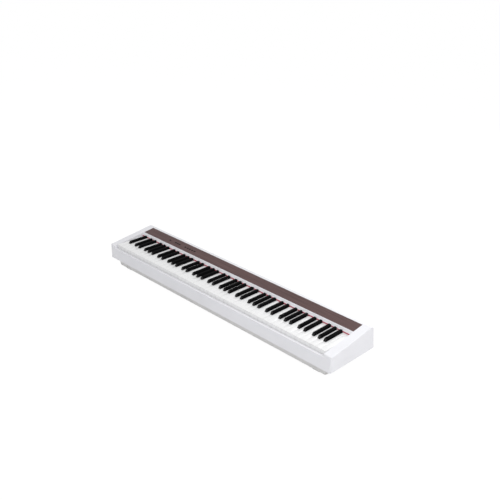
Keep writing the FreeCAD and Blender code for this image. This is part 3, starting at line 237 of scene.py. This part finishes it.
finish = {
    "caseWhite": plastic("satin_white", (0.80, 0.80, 0.835), 0.42, 0.12),
    "baseGrey": plastic("matt_grey", (0.715, 0.708, 0.708), 0.6, 0.4, grainScale=900.0),
    "panelBrown": wood("brown_inlay", (0.050, 0.0265, 0.0262), (0.146, 0.082, 0.079)),
    "keyWhite": plastic(
        "key_white", (0.82, 0.82, 0.826), 0.26, 0.03, grainScale=700.0, coat=0.25, depth=0.00005
    ),
    # the second colour is painted light on the black keys' front slopes
    "keyBlack": keyBlack("key_black", (0.0045, 0.0045, 0.005), (0.030, 0.030, 0.031)),
    "feltRed": felt("red_felt", (0.52, 0.035, 0.08)),
    "feltGrey": felt("grey_felt", (0.20, 0.19, 0.19)),
    "bedSteel": metal("zinc_plated_steel", (0.56, 0.57, 0.59), 0.34, plated=0.22),
    "rodSteel": metal("ground_steel", (0.60, 0.60, 0.61), 0.22, brushed=(0.05, 1, 1)),
    "springSteel": metal("spring_steel", (0.42, 0.42, 0.44), 0.28, brushed=(1, 0.05, 1)),
    "portSteel": metal("nickel", (0.62, 0.60, 0.57), 0.24),
    "brass": metal("brass", (0.62, 0.42, 0.16), 0.3, brushed=(1, 1, 6)),
    "screwSteel": metal("black_screw", (0.05, 0.05, 0.055), 0.36),
    "pinWhite": plastic("guide_nylon", (0.70, 0.69, 0.64), 0.38, 0.05),
    "boardGreen": circuitBoard("circuit_board", (0.012, 0.085, 0.035), (0.05, 0.17, 0.07)),
    "rubberBlack": rubber("rubber", (0.02, 0.02, 0.021)),
    "jackBlack": plastic("connector_black", (0.016, 0.016, 0.018), 0.36, 0.15),
    "speakerBlack": plastic("speaker_black", (0.022, 0.022, 0.023), 0.55, 0.3, grainScale=500.0),
    "speakerCloth": cloth("speaker_cloth", (0.05, 0.05, 0.05)),
    "buttonDark": plastic("button_dark", (0.012, 0.009, 0.009), 0.4, 0.1, gloss=0.1),
    "canSleeve": plastic("capacitor_sleeve", (0.03, 0.035, 0.07), 0.32, 0.05),
    "printGrey": plastic("printed_grey", (0.20, 0.165, 0.16), 0.5, 0.05),
}
print("finishes:", len(finish))


# CAD pieces that keep their own mesh and get a finish and softer edges

softEdge = {"merge": 0.000005, "segments": 2, "sharperThan": math.radians(40)}


def dress(node, material, edge=0.0):
    piece = nodes[node]
    piece.data.materials.clear()
    piece.data.materials.append(finish[material])
    if edge:
        weld = piece.modifiers.new("weld", "WELD")
        weld.merge_threshold = softEdge["merge"]
        bevel = piece.modifiers.new("round_edges", "BEVEL")
        bevel.width = edge
        bevel.segments = softEdge["segments"]
        bevel.limit_method = "ANGLE"
        bevel.angle_limit = softEdge["sharperThan"]
        bevel.harden_normals = True


dress("upper_case", "caseWhite", 0.0004)
dress("lower_case", "baseGrey", 0.0005)
dress("top_panel", "panelBrown", 0.0003)
dress("name_felt", "feltRed", 0.0004)
dress("key_frame", "bedSteel")
dress("pivot_rod", "rodSteel")
dress("key_retainer", "bedSteel")
dress("key_springs", "springSteel")
dress("guide_pins", "pinWhite")
dress("stop_felt", "feltGrey")
dress("contact_board", "boardGreen")
dress("contact_rubber", "rubberBlack")
dress("main_board", "boardGreen")
dress("control_board", "boardGreen")
dress("jack_board", "boardGreen")
dress("jack_plate", "jackBlack", 0.0003)
dress("speaker_left", "speakerBlack")
dress("speaker_right", "speakerBlack")
dress("rubber_feet", "rubberBlack", 0.0006)
dress("dc_inlet", "jackBlack", 0.0002)
dress("usb_port", "portSteel", 0.0002)
dress("phones_jack", "jackBlack", 0.0002)
dress("pedal_jack", "jackBlack", 0.0002)
for node in nodes:
    if "_button" in node:
        dress(node, "buttonDark", 0.00025)
print("CAD pieces dressed")


# ways of working

def makePiece(name, bm, material, body, standsFor=None):
    # a finished mesh becomes a piece that rides on a body
    mesh = bpy.data.meshes.new(name)
    bm.normal_update()
    bm.to_mesh(mesh)
    bm.free()
    mesh.polygons.foreach_set("use_smooth", [True] * len(mesh.polygons))
    mesh.set_sharp_from_angle(angle=math.radians(32))
    mesh.materials.append(finish[material])
    piece = bpy.data.objects.new(name, mesh)
    scene.collection.objects.link(piece)
    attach(piece, body)
    if standsFor:
        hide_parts(standsFor)


def addTo(bm, part, offset=(0, 0, 0)):
    # joins a finished small mesh into a larger one
    bmesh.ops.translate(part, verts=part.verts, vec=Vector(offset))
    mesh = bpy.data.meshes.new("part")
    part.to_mesh(mesh)
    part.free()
    bm.from_mesh(mesh)
    bpy.data.meshes.remove(mesh)


def rectangle(left, right, front, rear):
    return [(left, front), (right, front), (right, rear), (left, rear)]


def ring(bm, radius, z, sides=24):
    turns = [2 * math.pi * i / sides for i in range(sides)]
    return [bm.verts.new((radius * math.cos(t), radius * math.sin(t), z)) for t in turns]


def bridge(bm, upper, lower):
    for i in range(len(upper)):
        bm.faces.new((upper[i - 1], lower[i - 1], lower[i], upper[i]))


def bridgeAll(bm, rings, closed=False):
    # joins each ring to the next one, and the last to the first where closed
    following = rings[1:] + rings[:1] if closed else rings[1:]
    for upper, lower in zip(rings, following):
        bridge(bm, upper, lower)


def inset(outline, wall):
    # moves every side of a square-cornered outline inwards
    corners = []
    for i, corner in enumerate(outline):
        before = outline[i - 1]
        after = outline[(i + 1) % len(outline)]
        x, y = corner
        for (ax, ay), (bx, by) in ((before, corner), (corner, after)):
            length = math.hypot(bx - ax, by - ay)
            x -= wall * (by - ay) / length
            y += wall * (bx - ax) / length
        corners.append((x, y))
    return corners


def shell(outline, low, high, wall, ceiling):
    # a block that is hollow from below
    bm = bmesh.new()
    inner = inset(outline, wall)
    rings = [
        [bm.verts.new((x, y, z)) for x, y in corners]
        for corners, z in ((outline, high), (outline, low), (inner, low), (inner, high - ceiling))
    ]
    bridgeAll(bm, rings)
    bm.faces.new(rings[0])
    bm.faces.new(rings[-1][::-1])
    return bm


def roundOff(bm, test, radius, segments):
    edges = [edge for edge in bm.edges if test(*(corner.co for corner in edge.verts))]
    bmesh.ops.bevel(bm, geom=edges, offset=radius, segments=segments, profile=0.5, affect="EDGES")


# keys: five equal tails share C to E, seven share F to B

lowTail = 3 / 5
highTail = 4 / 7
sharpMiddles = {
    1: 1.5 * lowTail,
    2: 3.5 * lowTail,
    4: 3 + 1.5 * highTail,
    5: 3 + 3.5 * highTail,
    6: 3 + 5.5 * highTail,
}
naturalNames = "cdefgab"
sharpNames = {1: "c_sharp", 2: "d_sharp", 4: "f_sharp", 5: "g_sharp", 6: "a_sharp"}
keyboard = {
    "naturals": 52,
    "missing": 5,  # octave 0 starts at its A
    "lastOctave": 7,
    "singleOctave": 4,  # its keys move one by one
}
naturalLow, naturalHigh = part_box("naturals_octave_3")
sharpLow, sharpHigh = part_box("sharps_octave_3")
keys = {
    "pitch": 0.0235,
    "gap": 0.0007,
    "front": naturalLow.y,
    "length": naturalHigh.y - naturalLow.y,
    "head": sharpLow.y - naturalLow.y,  # natural's front to a sharp's front
    "slot": 0.0134,  # room for a sharp between two naturals
    "air": 0.0009,  # around a sharp
    "top": naturalHigh.z,
    "depth": 0.015,
    "wall": 0.0018,
    "plate": 0.002,  # thickness of a key's top
}
natural = {"lip": 0.020, "corner": 0.0015, "edge": 0.0005}
sharp = {
    "rise": sharpHigh.z - naturalHigh.z,
    "narrow": 0.0008,  # the cap's top narrower than its foot, each side
    "slope": 0.0055,  # run of the sloping front
    "end": 0.0288 - naturalLow.y,  # the cap ends just ahead of the name felt
    "edge": 0.0013,
}


def naturalKey(step, cutLeft=True, cutRight=True):
    # hollow: a wide head, a tail between its sharps, and a lip at the front
    left = keys["gap"] / 2
    right = keys["pitch"] - keys["gap"] / 2
    headEnd = keys["head"] - keys["air"]
    outline = [(left, 0), (right, 0)]
    tailRight = right
    if cutRight and step + 1 in sharpMiddles:
        tailRight = (sharpMiddles[step + 1] - step) * keys["pitch"] - keys["slot"] / 2
        outline += [(right, headEnd), (tailRight, headEnd)]
    outline.append((tailRight, keys["length"]))
    if cutLeft and step in sharpMiddles:
        tailLeft = (sharpMiddles[step] - step) * keys["pitch"] + keys["slot"] / 2
        outline += [(tailLeft, keys["length"]), (tailLeft, headEnd), (left, headEnd)]
    else:
        outline.append((left, keys["length"]))
    near = 0.00001

    def frontCorner(a, b):
        return max(a.y, b.y) < near and abs(a.z - b.z) > near

    low = -keys["depth"]
    bm = shell(outline, low, 0, keys["wall"], keys["plate"])
    roundOff(bm, lambda a, b: frontCorner(a, b) and max(a.z, b.z) > -near, natural["corner"], 4)
    roundOff(bm, lambda a, b: min(a.z, b.z) > -near, natural["edge"], 3)
    lip = rectangle(left, right, 0, keys["wall"])
    lipBlock = shell(lip, -natural["lip"], low, keys["wall"] / 4, keys["wall"] / 2)
    roundOff(lipBlock, frontCorner, natural["corner"], 4)
    addTo(bm, lipBlock)
    return bm


def sharpKey():
    # a hollow stem with a sloping cap on it
    half = keys["slot"] / 2 - keys["air"]
    front = keys["head"]
    stem = rectangle(-half, half, front, keys["length"])
    bm = shell(stem, -keys["depth"], 0, keys["wall"], keys["plate"])
    cap = bmesh.new()
    crown = half - sharp["narrow"]
    foot = rectangle(-half, half, front, sharp["end"])
    ridge = rectangle(-crown, crown, front + sharp["slope"], sharp["end"])
    lower = [cap.verts.new((x, y, 0)) for x, y in foot]
    upper = [cap.verts.new((x, y, sharp["rise"])) for x, y in ridge]
    bridge(cap, upper, lower)
    cap.faces.new(upper)
    cap.faces.new(lower[::-1])
    roundOff(cap, lambda a, b: max(a.z, b.z) > sharp["rise"] / 2, sharp["edge"], 4)
    addTo(bm, cap)
    return bm


def keyX(index):
    # a place along the keyboard, counted in naturals from the lowest one's left side
    return (index - keyboard["naturals"] / 2) * keys["pitch"]


def octaveKeys(octave):
    first = octave * len(naturalNames) - keyboard["missing"]
    whites = []
    blacks = []
    for step, name in enumerate(naturalNames):
        index = first + step
        if index < 0:
            continue
        whites.append((name, keyX(index), naturalKey(step, cutLeft=index > 0)))
        if step + 1 in sharpMiddles:
            blacks.append((sharpNames[step + 1], keyX(first + sharpMiddles[step + 1]), sharpKey()))
    if octave == keyboard["lastOctave"]:
        # the highest C has no sharp beside it
        whites.append(("c", keyX(keyboard["naturals"] - 1), naturalKey(0, False, False)))
    return whites, blacks


def makeKeys():
    # one piece for each group of an octave, and for each key of the octave with single keys
    made = 0
    for octave in range(keyboard["lastOctave"] + 1):
        whites, blacks = octaveKeys(octave)
        for kind, material, slot, group in (
            ("naturals", "keyWhite", "key_white", whites),
            ("sharps", "keyBlack", "key_black", blacks),
        ):
            together = defaultdict(bmesh.new)
            for name, x, part in group:
                node = f"{kind}_octave_{octave}"
                if octave == keyboard["singleOctave"]:
                    node = f"key_{name}_{octave}"
                addTo(together[node], part, (x, keys["front"], keys["top"]))
                made += 1
            for node, bm in together.items():
                makePiece(node + "_moulding", bm, material, bodyOf[node], node)
    print("keys:", made)


makeKeys()


# screws under the rim, at the case's posts

screw = {
    "radius": 0.0032,
    "height": 0.0016,
    "cross": 0.0016,  # reach of the cross from the middle
    "arm": 0.0005,  # half the width of its arms
    "recess": 0.3,  # floor of the cross, as a share of the height
    "profile": ((1.0, 0.0), (1.0, 0.45), (0.93, 0.75), (0.75, 1.0)),  # shares of radius and height
    "seat": 0.046,
    "cheekX": 0.630,
    "cheekY": (-0.1004, 0.0, 0.0828),
    "rearX": (-0.5184, -0.2268, 0.2268, 0.5184),
    "rearY": 0.1147,
}


def screwHead():
    # pan head with a cross recess, seen from below
    bm = bmesh.new()
    height = screw["height"]
    rings = [ring(bm, screw["radius"] * share, -height * drop) for share, drop in screw["profile"]]
    bridgeAll(bm, rings)
    bm.faces.new(rings[0][::-1])
    arm = screw["arm"]
    reach = screw["cross"]
    outline = []
    for turn in range(4):
        spin = Matrix.Rotation(math.pi / 2 * turn, 2)
        outline += [spin @ Vector(corner) for corner in ((reach, -arm), (reach, arm), (arm, arm))]
    mouth = [bm.verts.new((x, y, -height)) for x, y in outline]
    bottom = [bm.verts.new((x, y, -height * screw["recess"])) for x, y in outline]
    bridge(bm, mouth, bottom)
    bm.faces.new(bottom)
    loops = []
    for loop in (rings[-1], mouth):
        loops += [bm.edges.get((loop[i - 1], loop[i])) for i in range(len(loop))]
    bmesh.ops.bridge_loops(bm, edges=loops)
    bmesh.ops.recalc_face_normals(bm, faces=bm.faces)
    return bm


screws = bmesh.new()
screwPlaces = [(side * screw["cheekX"], y) for side in (-1, 1) for y in screw["cheekY"]]
screwPlaces += [(x, screw["rearY"]) for x in screw["rearX"]]
for x, y in screwPlaces:
    addTo(screws, screwHead(), (x, y, screw["seat"]))
makePiece("case_screws", screws, "screwSteel", "case")


# threaded inserts for a stand, in the underside

insert = {
    "outer": 0.0029,
    "inner": 0.0025,
    "low": 0.0053,
    "high": 0.0135,
    "x": (-0.5, 0.5),
    "y": (-0.0505, 0.0345),
}
sleeve = (("outer", "high"), ("outer", "low"), ("inner", "low"), ("inner", "high"))
inserts = bmesh.new()
for x in insert["x"]:
    for y in insert["y"]:
        part = bmesh.new()
        rings = [ring(part, insert[radius], insert[level]) for radius, level in sleeve]
        bridgeAll(part, rings, closed=True)
        addTo(inserts, part, (x, y, 0))
makePiece("stand_inserts", inserts, "brass", "case")


# cloth strips behind the speaker slots

grille = {
    "length": 0.096,
    "width": 0.004,
    "pitch": 0.009,
    "count": 5,
    "x": 0.430,
    "y": -0.0035,
    "low": 0.0072,
    "high": 0.0077,
}
strips = bmesh.new()
for side in (-1, 1):
    for strip in range(grille["count"]):
        part = bmesh.new()
        thick = grille["high"] - grille["low"]
        size = Matrix.Diagonal((grille["length"], grille["width"], thick, 1))
        bmesh.ops.create_cube(part, size=1, matrix=size)
        across = (strip - (grille["count"] - 1) // 2) * grille["pitch"]
        middle = (grille["low"] + grille["high"]) / 2
        addTo(strips, part, (side * grille["x"], grille["y"] + across, middle))
makePiece("speaker_cloth", strips, "speakerCloth", "case")
print("screws, inserts, speaker cloth")


# chips, capacitors and plugs on the main board, placed from the board's middle

processor = {"length": 0.014, "width": 0.014, "pins": 16, "places": [(-0.020, 0.004)]}
memory = {"length": 0.009, "width": 0.0054, "pins": 8, "places": [(0.006, 0.010), (0.006, -0.004)]}
amplifier = {"length": 0.0117, "width": 0.009, "pins": 6, "places": [(0.052, -0.012)]}
chipBody = {"height": 0.0018, "edge": 0.0002}
chipPin = {"reach": 0.0008, "length": 0.0018, "height": 0.0005, "share": 0.45, "edge": 0.0001}
can = {
    "radius": 0.004,
    "height": 0.011,
    "count": 4,
    "pitch": 0.0104,
    "x": 0.030,
    "y": 0.020,
    "groove": ((1.0, 0.12), (0.93, 0.15), (1.0, 0.18)),  # shares of radius and height
    "rim": ((1.0, 0.96), (0.94, 1.0), (0.8, 0.985)),
}
plug = {
    "length": 0.016,
    "width": 0.006,
    "edge": 0.0004,
    "count": 5,
    "pitch": 0.032,
    "x": -0.070,
    "y": -0.026,
}


def boxPart(length, width, height, x, y, edge):
    # a block that stands on z = 0
    bm = bmesh.new()
    size = Matrix.Diagonal((length, width, height, 1))
    bmesh.ops.create_cube(bm, size=1, matrix=Matrix.Translation((x, y, height / 2)) @ size)
    roundOff(bm, lambda a, b: min(a.z, b.z) > height / 2, edge, 2)
    return bm


def addChip(parts, chip, x, y):
    # a moulded block with a row of pins on its front and rear
    length = chip["length"]
    width = chip["width"]
    addTo(parts["chips"], boxPart(length, width, chipBody["height"], x, y, chipBody["edge"]))
    step = length / (chip["pins"] + 1)
    pinWidth = step * chipPin["share"]
    pinSize = (pinWidth, chipPin["length"], chipPin["height"])
    for i in range(chip["pins"]):
        for side in (-1, 1):
            pinX = x + (i + 1) * step - length / 2
            pinY = y + side * (width / 2 + chipPin["reach"])
            addTo(parts["pins"], boxPart(*pinSize, pinX, pinY, chipPin["edge"]))


def addCan(cans, x, y):
    # an electrolytic capacitor with its pressed top
    part = bmesh.new()
    profile = ((1.0, 0.0), *can["groove"], *can["rim"])
    rings = [ring(part, can["radius"] * share, can["height"] * up) for share, up in profile]
    for lower, upper in zip(rings, rings[1:]):
        bridge(part, upper, lower)
    part.faces.new(rings[-1])
    part.faces.new(rings[0][::-1])
    addTo(cans, part, (x, y, 0))


boardFinish = {"chips": "jackBlack", "pins": "portSteel", "cans": "canSleeve", "plugs": "pinWhite"}
boardParts = {name: bmesh.new() for name in boardFinish}
for chip in (processor, memory, amplifier):
    for place in chip["places"]:
        addChip(boardParts, chip, *place)
for i in range(can["count"]):
    addCan(boardParts["cans"], can["x"] + i * can["pitch"], can["y"])
for i in range(plug["count"]):
    place = (plug["x"] + i * plug["pitch"], plug["y"])
    part = boxPart(plug["length"], plug["width"], plug["width"], *place, plug["edge"])
    addTo(boardParts["plugs"], part)
mainLow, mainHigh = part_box("main_board")
middle = Vector(((mainLow.x + mainHigh.x) / 2, (mainLow.y + mainHigh.y) / 2, mainHigh.z))
for name, part in boardParts.items():
    bmesh.ops.translate(part, verts=part.verts, vec=middle)
    makePiece(f"board_{name}", part, boardFinish[name], "case")
print("main board parts")


# collars of the two round sockets, turned to the leaning rear wall

rearWall = {"foot": 0.1255, "rim": 0.042, "leanRun": 0.0135, "leanRise": 0.09668}
collar = {
    "inner": 0.0034,
    "outer": 0.0056,
    "thick": 0.0012,
    "profile": ((0.92, 1.0), (1.0, 0.7), (1.0, 0.0)),  # shares of outer radius and thickness
    "sides": 32,
    "lift": -0.0005,
    "height": 0.072,
    "x": (-0.162, -0.136),
}


def onRear(x, height, lift):
    # a place on the rear wall: lift is measured out of it
    lean = math.atan2(rearWall["leanRun"], rearWall["leanRise"])
    y = rearWall["foot"] - (height - rearWall["rim"]) * math.tan(lean)
    normal = Vector((0, math.cos(lean), math.sin(lean)))
    spot = Matrix.Translation(Vector((x, y, height)) + normal * lift)
    return spot @ Matrix.Rotation(lean - math.pi / 2, 4, "X")


collars = bmesh.new()
for x in collar["x"]:
    part = bmesh.new()
    steps = [(collar["outer"] * share, up) for share, up in collar["profile"]]
    steps += [(collar["inner"], up) for up in (0.0, 1.0)]
    rings = [ring(part, radius, collar["thick"] * up, collar["sides"]) for radius, up in steps]
    bridgeAll(part, rings, closed=True)
    spot = onRear(x, collar["height"], collar["lift"])
    bmesh.ops.transform(part, matrix=spot, verts=part.verts)
    addTo(collars, part)
makePiece("socket_collars", collars, "portSteel", "case")


# printed marks beside the buttons

top = {"slope": math.radians(7.6), "y": -0.1255, "z": 0.107, "sink": 0.0001}
mark = {
    "radius": 0.0011,
    "line": 0.00035,
    "thick": 0.00004,
    "gap": 0.0028,  # a button's rear edge to the middle of its mark
    "opening": 70,  # degrees, gap of the ring beside the power button
    "arcSteps": 20,
}


def onPanel(x, y):
    # a place on the sloping panel
    height = top["z"] + (y - top["y"]) * math.tan(top["slope"])
    spot = Matrix.Translation((x, y, height)) @ Matrix.Rotation(top["slope"], 4, "X")
    return spot @ Matrix.Translation((0, 0, -top["sink"]))


def plate(bm, corners):
    # a thin plate on that place
    lower = [bm.verts.new((x, y, 0)) for x, y in corners]
    upper = [bm.verts.new((x, y, mark["thick"])) for x, y in corners]
    bridge(bm, upper, lower)
    bm.faces.new(upper)
    bm.faces.new(lower[::-1])


def bar(bm, width, height, x=0.0, y=0.0):
    plate(bm, rectangle(x - width / 2, x + width / 2, y - height / 2, y + height / 2))


def powerMark(bm):
    # a ring that is open at the top, and a bar in its gap
    start = mark["opening"] / 2
    sweep = 360 - mark["opening"]
    count = mark["arcSteps"]
    turns = [math.radians(start + sweep * i / count) for i in range(count + 1)]
    radii = (mark["radius"] + mark["line"] / 2, mark["radius"] - mark["line"] / 2)
    outer, inner = [[(r * math.sin(t), r * math.cos(t)) for t in turns] for r in radii]
    for i in range(count):
        plate(bm, [inner[i + 1], inner[i], outer[i], outer[i + 1]])
    bar(bm, mark["line"], mark["radius"], 0, mark["radius"] * 0.7)


def levelMark(bm, index):
    # minus, dot, plus
    if index == 2:
        bar(bm, mark["line"], mark["line"] * 2)
        return
    bar(bm, mark["radius"] * 2, mark["line"])
    if index == 3:
        for side in (-1, 1):
            bar(bm, mark["line"], mark["radius"] * 0.8, 0, side * mark["radius"] * 0.6)


def voiceMark(bm, index):
    # one short dash for each place in the row
    for step in range(index):
        x = (step - (index - 1) / 2) * mark["radius"]
        bar(bm, mark["radius"] * 0.6, mark["line"], x)


marks = bmesh.new()
buttonNames = ["power_button"] + [f"level_button_{i}" for i in (1, 2, 3)]
buttonNames += [f"voice_button_{i}" for i in range(1, 6)]
for name in buttonNames:
    part = bmesh.new()
    if name.startswith("power"):
        powerMark(part)
    elif name.startswith("level"):
        levelMark(part, int(name[-1]))
    else:
        voiceMark(part, int(name[-1]))
    low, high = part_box(name)
    spot = onPanel((low.x + high.x) / 2, high.y + mark["gap"])
    bmesh.ops.transform(part, matrix=spot, verts=part.verts)
    addTo(marks, part)
makePiece("button_marks", marks, "printGrey", "case")
print("collars and marks")


# floor and world: white where they are seen, plain soft light on the object

floor = {"reach": 30, "color": (0.85, 0.85, 0.85), "white": 1.05, "lift": 0.92}
worldLight = 0.50


def seenRays(tree):
    # 1 for the rays that show the floor or the backdrop: straight, in gloss and through glass
    path = addNode(tree, "LightPath")
    seen = path.outputs["Is Camera Ray"]
    for other in ("Is Glossy Ray", "Is Transmission Ray"):
        sockets = {0: seen, 1: path.outputs[other]}
        seen = addNode(tree, "Math", sockets, operation="MAXIMUM").outputs["Value"]
    return seen


def floorMaterial():
    # a pale matt floor that looks white and keeps a faint shadow
    material, tree, shader = startMaterial("studio_floor")
    shader.inputs["Base Color"].default_value = (*floor["color"], 1)
    shader.inputs["Roughness"].default_value = 0.9
    shader.inputs["Specular IOR Level"].default_value = 0.0
    glow = addNode(tree, "Emission", {"Strength": floor["white"]})
    share = spread(tree, seenRays(tree), 0.0, floor["lift"])
    sockets = {0: share, 1: shader.outputs["BSDF"], 2: glow.outputs["Emission"]}
    both = addNode(tree, "MixShader", sockets)
    tree.links.new(both.outputs["Shader"], tree.nodes["Material Output"].inputs["Surface"])
    return material


def makeFloor():
    mesh = bpy.data.meshes.new("studio_floor")
    reach = floor["reach"]
    corners = [(x, y, 0) for x, y in rectangle(-reach, reach, -reach, reach)]
    mesh.from_pydata(corners, [], [(0, 1, 2, 3)])
    mesh.materials.append(floorMaterial())
    studioFloor = bpy.data.objects.new("studio_floor", mesh)
    scene.collection.objects.link(studioFloor)


def setWorld():
    world = bpy.data.worlds.new("studio")
    scene.world = world
    world.use_nodes = True
    tree = world.node_tree
    background = tree.nodes["Background"]
    background.inputs["Color"].default_value = (1, 1, 1, 1)
    strength = spread(tree, seenRays(tree), worldLight, 1.0)
    tree.links.new(strength, background.inputs["Strength"])


makeFloor()
setWorld()


# square area lamps, all aimed at one point

lamps = {
    "key_lamp": {"place": (1.6, -0.5, 2.1), "size": 2.1, "power": 41},
    "fill_lamp": {"place": (-1.0, -3.0, 1.8), "size": 2.5, "power": 13},
    "back_lamp": {"place": (-0.3, 3.0, 1.5), "size": 2.5, "power": 34},
}
lampTarget = Vector((0, 0, 0.1))


def softLamp(name, place, size, power):
    lamp = bpy.data.lights.new(name, "AREA")
    lamp.shape = "SQUARE"
    lamp.size = size
    lamp.energy = power
    holder = bpy.data.objects.new(name, lamp)
    scene.collection.objects.link(holder)
    holder.location = place
    holder.rotation_euler = (lampTarget - Vector(place)).to_track_quat("-Z", "Y").to_euler()


for name, lamp in lamps.items():
    softLamp(name, **lamp)


# camera: degrees, millimetres for the lens and the sensor, metres for its place

view = {
    "place": (1.884323, -1.775931, 1.432495),
    "heading": 44.760,
    "down": 24.443,
    "roll": 1.158,
    "lens": 51.048,
    "sensor": 36.0,
    "near": 0.05,
    "far": 100,
}
cameraData = bpy.data.cameras.new("camera")
cameraData.lens = view["lens"]
cameraData.sensor_width = view["sensor"]
cameraData.clip_start = view["near"]
cameraData.clip_end = view["far"]
camera = bpy.data.objects.new("camera", cameraData)
scene.collection.objects.link(camera)
camera.matrix_world = (
    Matrix.Translation(view["place"])
    @ Matrix.Rotation(math.radians(view["heading"]), 4, "Z")
    @ Matrix.Rotation(math.radians(90 - view["down"]), 4, "X")
    @ Matrix.Rotation(math.radians(view["roll"]), 4, "Z")
)
scene.camera = camera
scene.view_settings.view_transform = "Standard"
print("floor, lamps, camera")
